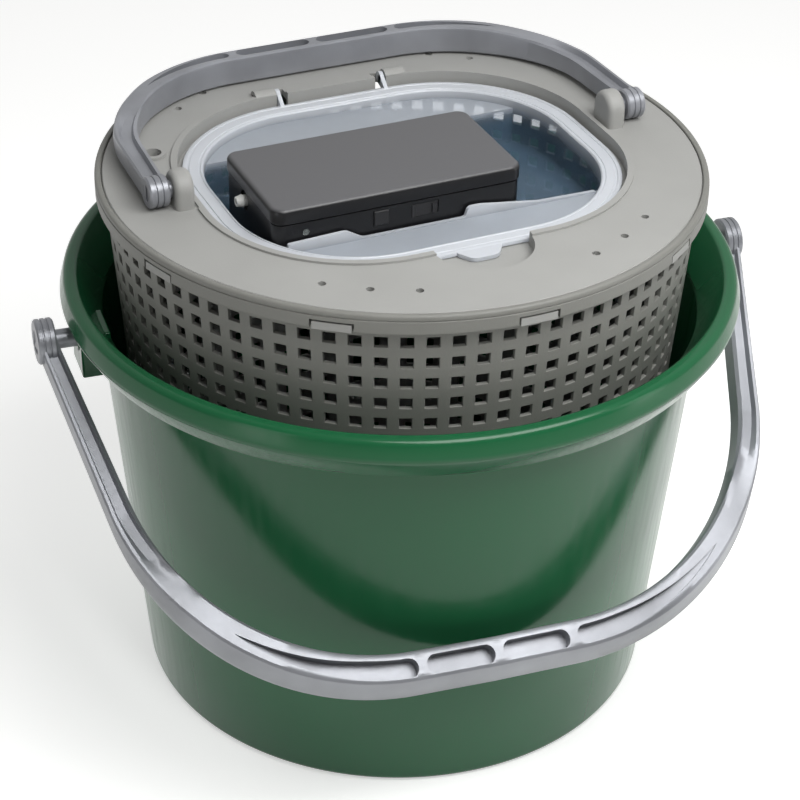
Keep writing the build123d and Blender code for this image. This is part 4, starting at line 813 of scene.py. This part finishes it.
class BAIT_OT_hatch(bpy.types.Operator):
    """The translucent hatch: beaded flange, two shelves, sunk tray, notched fence and tabs."""

    bl_idname = "bait.hatch"
    bl_label = "Hatch"

    def execute(self, context):
        hatch = context.scene.bait_hatch
        bm = bmesh.new()
        self.add_shell(bm, hatch)
        self.add_fence(bm, hatch)
        self.add_finger_tab(bm, hatch)
        self.add_hinge_tabs(bm, hatch)
        finish_piece(
            bm, "hatch_tray", "hatch", MATERIALS["hatch"], ["hatch"], solid=False
        )
        return {"FINISHED"}

    def add_shell(self, bm, hatch):
        """The flange with two fine beads, and the pan's inner and outer skins."""
        top, under = hatch.flange_top, hatch.flange_top - 2.0
        inner_splits = (hatch.tray_front, hatch.tray_back)
        outer_splits = (hatch.tray_front - hatch.wall, hatch.tray_back + hatch.wall)
        profile = [
            (8.0, under), (0.3, under), (0.0, under + 0.3), (0.0, top - 0.6), (0.25, top - 0.15),
            (0.7, top), (2.0, top), (2.3, top - 0.35), (3.1, top - 0.35), (3.4, top), (7.4, top),
            (7.7, top - 0.35), (8.3, top - 0.35), (8.6, top), (9.2, top - 0.05), (9.8, top - 0.7),
        ]
        outer_loop = hatch_loop(hatch, 8.0, outer_splits, under)
        rows = [add_row(bm, outer_loop)]
        for inset, z in profile[1:]:
            rows.append(add_row(bm, hatch_loop(hatch, inset, inner_splits, z)))
        bridge(bm, rows)
        inner_loop = hatch_loop(hatch, 9.8, inner_splits, top - 0.7)
        add_pan_skin(bm, rows[-1], inner_loop, inner_splits, hatch.shelf, hatch.floor)
        shelf, floor = hatch.shelf - hatch.wall, hatch.floor - hatch.wall
        add_pan_skin(bm, rows[0], outer_loop, outer_splits, shelf, floor)
        bmesh.ops.recalc_face_normals(bm, faces=bm.faces)

    def add_fence(self, bm, hatch):
        """The low fence at the tray's front edge, with soft steps down to its notch."""
        low, high, notch, end = hatch.shelf - 0.9, hatch.fence, hatch.shelf + 0.7, 75.5
        outline = round_corners([
            (-end, low, 0), (end, low, 0), (end, notch, 1), (46, notch + 0.6, 8), (17, high, 6),
            (10.6, high, 2.4), (9.4, notch, 2.0), (-40, notch, 6), (-48, high, 6), (-end, high - 1, 1),
        ])
        front = hatch.tray_front - hatch.wall
        slab(bm, [(x, front, z) for x, z in outline], (0, hatch.wall, 0))

    def add_finger_tab(self, bm, hatch):
        """The tab that a fingertip lifts, over the lid's half-moon."""
        front, root, tip, reach = -hatch.width / 2, 10.5, 6.0, 7.5
        outline = round_corners([
            (-root, front + 3, 0), (-root, front - 1, 2), (-tip, front - reach, 5),
            (tip, front - reach, 5), (root, front - 1, 2), (root, front + 3, 0),
        ])
        slab(bm, [(x, y, hatch.flange_top - 1.9) for x, y in outline], (0, 0, 1.8))

    def add_hinge_tabs(self, bm, hatch):
        """Two tabs that rise from the flange's back edge to a pin in the lid's lugs."""
        back, top, y, z = hatch.width / 2, hatch.flange_top, hatch.hinge_y, hatch.hinge
        inner, lug, pin_tip = 26.25, 28.25, 38.8
        web = [(back - 4, top - 2), (back, top - 2), (y + 1, z - 2.8), (y - 1, z + 2.8), (back - 2, top)]
        for side in (-1, 1):
            slab(bm, [(side * inner, *point) for point in web], (side * (lug - inner), 0, 0))
            for radius, ends in ((3.0, (inner, lug)), (2.0, (lug - 0.75, pin_tip))):
                place = Matrix.Translation((side * sum(ends) / 2, y, z)) @ Matrix.Rotation(pi / 2, 4, "Y")
                bmesh.ops.create_cone(
                    bm, cap_ends=True, segments=32, radius1=radius, radius2=radius,
                    depth=ends[1] - ends[0], matrix=place,
                )


# The bails' sizes follow the solids'. A station is a pair of points on the band's two edges.
BUCKET_BAIL = {
    "half_span": 170.0, "depth": 183.8, "spread": 35.5, "crown": 1.5, "corner": 118.0,
    "arm": 8.6, "grip": 18.0, "arm_thickness": 12.6, "grip_thickness": 16.0,
    "ribs": (-36.0, 0.0, 36.0), "pocket_half": 116.0, "eye": 10.5, "pin": 4.5, "pin_tip": 147.3,
}
INSERT_BAIL = {
    "half_span": 118.6, "depth": 110.0, "spread": 4.6, "crown": 0.6, "corner": 74.0,
    "arm": 9.4, "grip": 13.5, "arm_thickness": 10.0, "grip_thickness": 13.4,
    "ribs": (-42.0, 0.0, 42.0), "pocket_half": 92.0, "eye": 7.2, "pin": 4.0, "pin_tip": 105.0,
}
# Half sections of the band, outwards and upwards as shares of its half width and half
# thickness. The grip slopes down to its outer edge; the arm is a shallow channel.
GRIP_SECTION = (
    (-1.0, -0.86), (-0.86, -1.0), (0.82, -1.0), (0.95, -0.88), (1.0, -0.3), (0.55, 0.9),
    (0.4, 1.0), (0.2, 1.0), (-0.4, 1.0), (-0.8, 1.0), (-0.95, 0.9), (-1.0, 0.7),
)
ARM_SECTION = (
    (-1.0, -0.86), (-0.86, -1.0), (0.82, -1.0), (0.95, -0.88), (1.0, -0.3), (1.0, 0.84),
    (0.86, 1.0), (0.6, 1.0), (0.42, 0.5), (-0.45, 0.5), (-0.62, 0.96), (-0.98, 0.82),
)
# The pockets' middle, as a share of the half width, half a rib, and rows along a pocket.
POCKET_MIDDLE, HALF_RIB, POCKET_ROWS = -0.12, 2.0, 28


def bail_edge(bail, side):
    """Points along one edge of the bail's band: side is 1 for the outer edge, -1 for the inner."""
    arm, grip = side * bail["arm"] / 2, side * bail["grip"] / 2
    x = bail["half_span"] - bail["spread"] + arm * 1.2
    y = bail["depth"] - bail["crown"] + grip
    half, corner = bail["half_span"] + arm, bail["corner"] + arm
    crest = bail["depth"] + grip
    corners = [(half, 0, 0), (x, y, corner), (0, crest, 0), (-x, y, corner), (-half, 0, 0)]
    return round_corners(corners, closed=False, steps=36)


def bail_stations(bail):
    """The pairs of edge points along the band, from the right pivot to the left one."""
    return list(zip(bail_edge(bail, 1), bail_edge(bail, -1)))


def station_at(stations, x):
    """The station whose middle is at a side position."""
    for (a, b), (c, d) in zip(stations, stations[1:]):
        start, end = (a.x + b.x) / 2, (c.x + d.x) / 2
        if end <= x <= start:
            share = (start - x) / (start - end)
            return a.lerp(c, share), b.lerp(d, share)
    return stations[0]


def place_section(bail, station, section):
    """A section's (x, y, z) points at a station; its thickness swells towards the grip."""
    outer, inner = station
    middle, across = (outer + inner) / 2, (outer - inner) / 2
    swell = min(1, max(0, (middle.y / bail["depth"] - 0.5) / 0.36))
    half = (bail["arm_thickness"] + (bail["grip_thickness"] - bail["arm_thickness"]) * swell) / 2
    return [(*(middle + across * u), half * v) for u, v in section]


def band_section(bail, station):
    """The band's section, blended from the arm's channel to the grip's slope."""
    y = (station[0].y + station[1].y) / 2
    share = min(1, max(0, (y / bail["depth"] - 0.45) / 0.3))
    return [Vector(a).lerp(Vector(b), share) for a, b in zip(ARM_SECTION, GRIP_SECTION)]


def add_pockets(bm, bail):
    """Cutters for the grip's pockets: round at the ribs, drawn out to a point at the ends."""
    stations = bail_stations(bail)
    reach = bail["pocket_half"]
    marks = [-reach, *bail["ribs"], reach]
    for start, end in zip(marks, marks[1:]):
        start += HALF_RIB if start > -reach else 0
        end -= HALF_RIB if end < reach else 0
        rows = []
        for k in range(POCKET_ROWS + 1):
            x = end + (start - end) * (1 - cos(pi * k / POCKET_ROWS)) / 2
            tip = min((reach - abs(x)) / 55, 1)
            blunt = min(min(x - start, end - x) / 4, 1)
            width = 0.5 * max(0.04, sqrt(1 - (1 - blunt) ** 2)) * max(0.05, tip**0.7)
            floor = 0.85 - 0.65 * min(1, tip * 1.6)
            low, high = POCKET_MIDDLE - width, POCKET_MIDDLE + width
            section = [(low, floor), (high, floor), (high, 1.4), (low, 1.4)]
            rows.append(add_row(bm, place_section(bail, station_at(stations, x), section)))
        bridge(bm, rows)
        bm.faces.new(rows[0])
        bm.faces.new(rows[-1])


def add_eye(bm, bail, side):
    """The barrel at the end of an arm, with two fine grooves and its pin."""
    low, high = bail["half_span"] - bail["arm"] / 2, bail["half_span"] + bail["arm"] / 2
    eye, pin, tip = bail["eye"], bail["pin"], bail["pin_tip"]
    outline = [(0, tip), (pin - 0.5, tip), (pin, tip + 0.5), (pin, low), (eye - 0.8, low), (eye, low + 0.8)]
    for groove in (0.36, 0.66):
        middle = low + (high - low) * groove
        outline += [(eye, middle - 0.5), (eye - 0.5, middle - 0.25)]
        outline += [(eye - 0.5, middle + 0.25), (eye, middle + 0.5)]
    outline += [(eye, high - 0.8), (eye - 0.8, high), (eye * 0.55, high)]
    outline += [(eye * 0.5, high - 0.6), (0, high - 0.6)]
    part = bmesh.new()
    spin_outline(part, outline, 48)
    bmesh.ops.rotate(part, verts=part.verts, matrix=Matrix.Rotation(side * pi / 2, 3, "Y"))
    join_part(bm, part)


def make_bail(bail, name, body, node, place):
    """A bail in its own flat frame, with its pockets cut, set where its solid is."""
    bm = bmesh.new()
    stations = bail_stations(bail)
    sections = [place_section(bail, station, band_section(bail, station)) for station in stations]
    rows = [add_row(bm, section) for section in sections]
    bridge(bm, rows)
    bm.faces.new(rows[0])
    bm.faces.new(rows[-1])
    cutters = bmesh.new()
    add_pockets(cutters, bail)
    for mesh in (bm, cutters):
        bmesh.ops.transform(mesh, matrix=place, verts=mesh.verts)
    piece = finish_piece(bm, name, body, MATERIALS["handle"], [node])
    carve(piece, cutters)
    add_bevel(piece, 0.7, 3, 40)
    eyes = bmesh.new()
    for side in (-1, 1):
        add_eye(eyes, bail, side)
    bmesh.ops.transform(eyes, matrix=place, verts=eyes.verts)
    finish_piece(eyes, name + "_eyes", body, MATERIALS["handle"])


class BAIT_OT_handles(bpy.types.Operator):
    """The two bails: one hangs forward on the bucket, one lies back over the lid."""

    bl_idname = "bait.handles"
    bl_label = "Handles"

    def execute(self, context):
        bucket = context.scene.bait_bucket
        lean = Matrix.Rotation(radians(-90 - bucket.lean), 4, "X") @ Matrix.Rotation(pi, 4, "Y")
        turn = Matrix.Rotation(radians(bucket.yaw), 4, "Z")
        hang = turn @ Matrix.Translation((0, 0, bucket.pivot)) @ lean
        make_bail(BUCKET_BAIL, "bucket_bail", "bucket_handle", "bucket_handle", hang)
        flat = Matrix.Translation((0, 0, context.scene.bait_lid.pivot))
        make_bail(INSERT_BAIL, "insert_bail", "insert_handle", "insert_handle", flat)
        return {"FINISHED"}


class BAIT_OT_pump(bpy.types.Operator):
    """The air pump's case and its finish."""

    bl_idname = "bait.pump"
    bl_label = "Air pump"

    def execute(self, context):
        eased_copy("pump_top_case", "pump_cover", "pump", MATERIALS["pump_top"], 0.4)
        eased_copy("pump_bottom_case", "pump_lower_case", "pump", MATERIALS["pump_case"], 0.3)
        for node, finish in CAD_FINISHES.items():
            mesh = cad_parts[node].data
            mesh.materials.clear()
            mesh.materials.append(MATERIALS[finish])
        return {"FINISHED"}


# ---------------------------------------------------------------- stage
# The floor's glow that only direct views see, and the way from the bucket to the white sweep.
FLOOR_LIFT = 0.5
SWEEP_SIDE = (0.42, 0.91, 0.0)


class BAIT_OT_stage(bpy.types.Operator):
    """The floor, the studio light and the camera at the photograph's angle."""

    bl_idname = "bait.stage"
    bl_label = "Stage"

    def execute(self, context):
        stage = context.scene.bait_stage
        self.add_camera(context, stage)
        self.add_floor(stage)
        self.add_world(context)
        self.add_lamp("key_softbox", (120, -400, 840), (620, 420), 6.2)
        self.add_lamp("left_softbox", (-1500, -700, 500), (500, 1300), 2.8)
        self.add_lamp("right_softbox", (1300, -900, 500), (400, 1300), 3.4)
        context.scene.view_settings.view_transform = "Standard"
        return {"FINISHED"}

    def add_camera(self, context, stage):
        """The camera, turned by azimuth, elevation and roll about its aim point."""
        azimuth, elevation, roll = radians(stage.azimuth), radians(stage.elevation), radians(stage.roll)
        right = Vector((cos(azimuth), sin(azimuth), 0))
        back = Vector((sin(azimuth) * cos(elevation), -cos(azimuth) * cos(elevation), sin(elevation)))
        up = back.cross(right)
        across = right * cos(roll) + up * sin(roll)
        upward = up * cos(roll) - right * sin(roll)
        aim = Vector((0, 0, stage.aim_height)) + across * stage.aim_right
        data = bpy.data.cameras.new("camera")
        data.lens = stage.lens
        data.sensor_width = 36
        data.clip_start = 0.01
        camera = bpy.data.objects.new("camera", data)
        context.scene.collection.objects.link(camera)
        turn = Matrix((across, upward, back)).transposed().to_4x4()
        camera.matrix_world = Matrix.Translation((aim + back * stage.distance) * MM) @ turn
        context.scene.camera = camera

    def add_floor(self, stage):
        """A wide pale floor that the camera sees as near white, with the object's shadow on it."""
        bm = bmesh.new()
        bmesh.ops.create_grid(bm, x_segments=1, y_segments=1, size=6.0)
        mesh = bpy.data.meshes.new("floor")
        bm.to_mesh(mesh)
        bm.free()
        floor = bpy.data.objects.new("floor", mesh)
        bpy.context.scene.collection.objects.link(floor)
        floor.location.z = -0.0004
        material, tree, output, _ = start_material("pale_floor")
        paint = add_node(tree, "ShaderNodeBsdfDiffuse", {"Color": linear(stage.floor_colour)})
        seen = seen_directly(tree, ("Is Camera Ray", "Is Transmission Ray", "Is Glossy Ray"))
        lift = add_node(tree, "ShaderNodeMath", {"operation": "MULTIPLY", 1: FLOOR_LIFT}, {0: seen})
        glow = add_node(tree, "ShaderNodeEmission", None, {"Strength": lift.outputs[0]})
        both = add_node(tree, "ShaderNodeAddShader", None, {0: paint.outputs[0], 1: glow.outputs[0]})
        tree.links.new(both.outputs[0], output.inputs["Surface"])
        mesh.materials.append(material)

    def add_world(self, context):
        """A white sweep behind the bucket and a dimmer room in front; the camera sees white."""
        world = bpy.data.worlds.new("studio")
        context.scene.world = world
        world.use_nodes = True
        tree = world.node_tree
        tree.nodes.clear()
        output = add_node(tree, "ShaderNodeOutputWorld")
        towards = add_node(tree, "ShaderNodeTexCoord").outputs["Generated"]
        behind = add_node(
            tree, "ShaderNodeVectorMath", {"operation": "DOT_PRODUCT", 1: SWEEP_SIDE}, {0: towards}
        )
        sweep = add_node(
            tree, "ShaderNodeMapRange", {"From Min": -0.2, "From Max": 0.6, "To Min": 0.15, "To Max": 0.60},
            {"Value": behind.outputs["Value"]},
        )
        seen = seen_directly(tree, ("Is Camera Ray", "Is Transmission Ray"))
        strength = add_node(
            tree, "ShaderNodeMath", {"operation": "MAXIMUM"}, {0: sweep.outputs["Result"], 1: seen}
        )
        sky = add_node(
            tree, "ShaderNodeBackground", {"Color": (1, 1, 1, 1)}, {"Strength": strength.outputs[0]}
        )
        tree.links.new(sky.outputs["Background"], output.inputs["Surface"])

    def add_lamp(self, name, place, size, power):
        """A soft rectangular lamp that faces the bucket's middle."""
        data = bpy.data.lights.new(name, "AREA")
        data.shape = "RECTANGLE"
        data.size, data.size_y = (side * MM for side in size)
        data.energy = power
        lamp = bpy.data.objects.new(name, data)
        bpy.context.scene.collection.objects.link(lamp)
        spot = Vector(place) * MM
        lamp.location = spot
        lamp.rotation_euler = (spot - Vector((0, 0, 0.15))).to_track_quat("Z", "Y").to_euler()


class BAIT_PT_panel(bpy.types.Panel):
    """Lists the pieces of the bait bucket."""

    bl_idname = "BAIT_PT_panel"
    bl_label = "Bait bucket"
    bl_space_type = "VIEW_3D"
    bl_region_type = "UI"
    bl_category = "Bait Bucket"

    def draw(self, context):
        for operator in PIECE_OPERATORS:
            self.layout.operator(operator.bl_idname)


PIECE_OPERATORS = (
    BAIT_OT_bucket,
    BAIT_OT_basket,
    BAIT_OT_lid,
    BAIT_OT_hatch,
    BAIT_OT_handles,
    BAIT_OT_pump,
    BAIT_OT_stage,
)
SETTINGS = {
    "bait_bucket": BucketSettings,
    "bait_basket": BasketSettings,
    "bait_lid": LidSettings,
    "bait_hatch": HatchSettings,
    "bait_pump": PumpSettings,
    "bait_stage": StageSettings,
}


def register():
    """Registers the settings, the operators and the panel."""
    for name, group in SETTINGS.items():
        bpy.utils.register_class(group)
        setattr(bpy.types.Scene, name, PointerProperty(type=group))
    for item in PIECE_OPERATORS + (BAIT_PT_panel,):
        bpy.utils.register_class(item)


def unregister():
    """Takes the settings, the operators and the panel away again."""
    for item in (BAIT_PT_panel,) + PIECE_OPERATORS:
        bpy.utils.unregister_class(item)
    for name, group in SETTINGS.items():
        delattr(bpy.types.Scene, name)
        bpy.utils.unregister_class(group)


def main():
    """Builds every piece and the stage."""
    register()
    make_materials()
    bpy.ops.bait.bucket()
    bpy.ops.bait.basket()
    bpy.ops.bait.lid()
    bpy.ops.bait.hatch()
    bpy.ops.bait.handles()
    bpy.ops.bait.pump()
    bpy.ops.bait.stage()


if __name__ == "__main__":
    main()
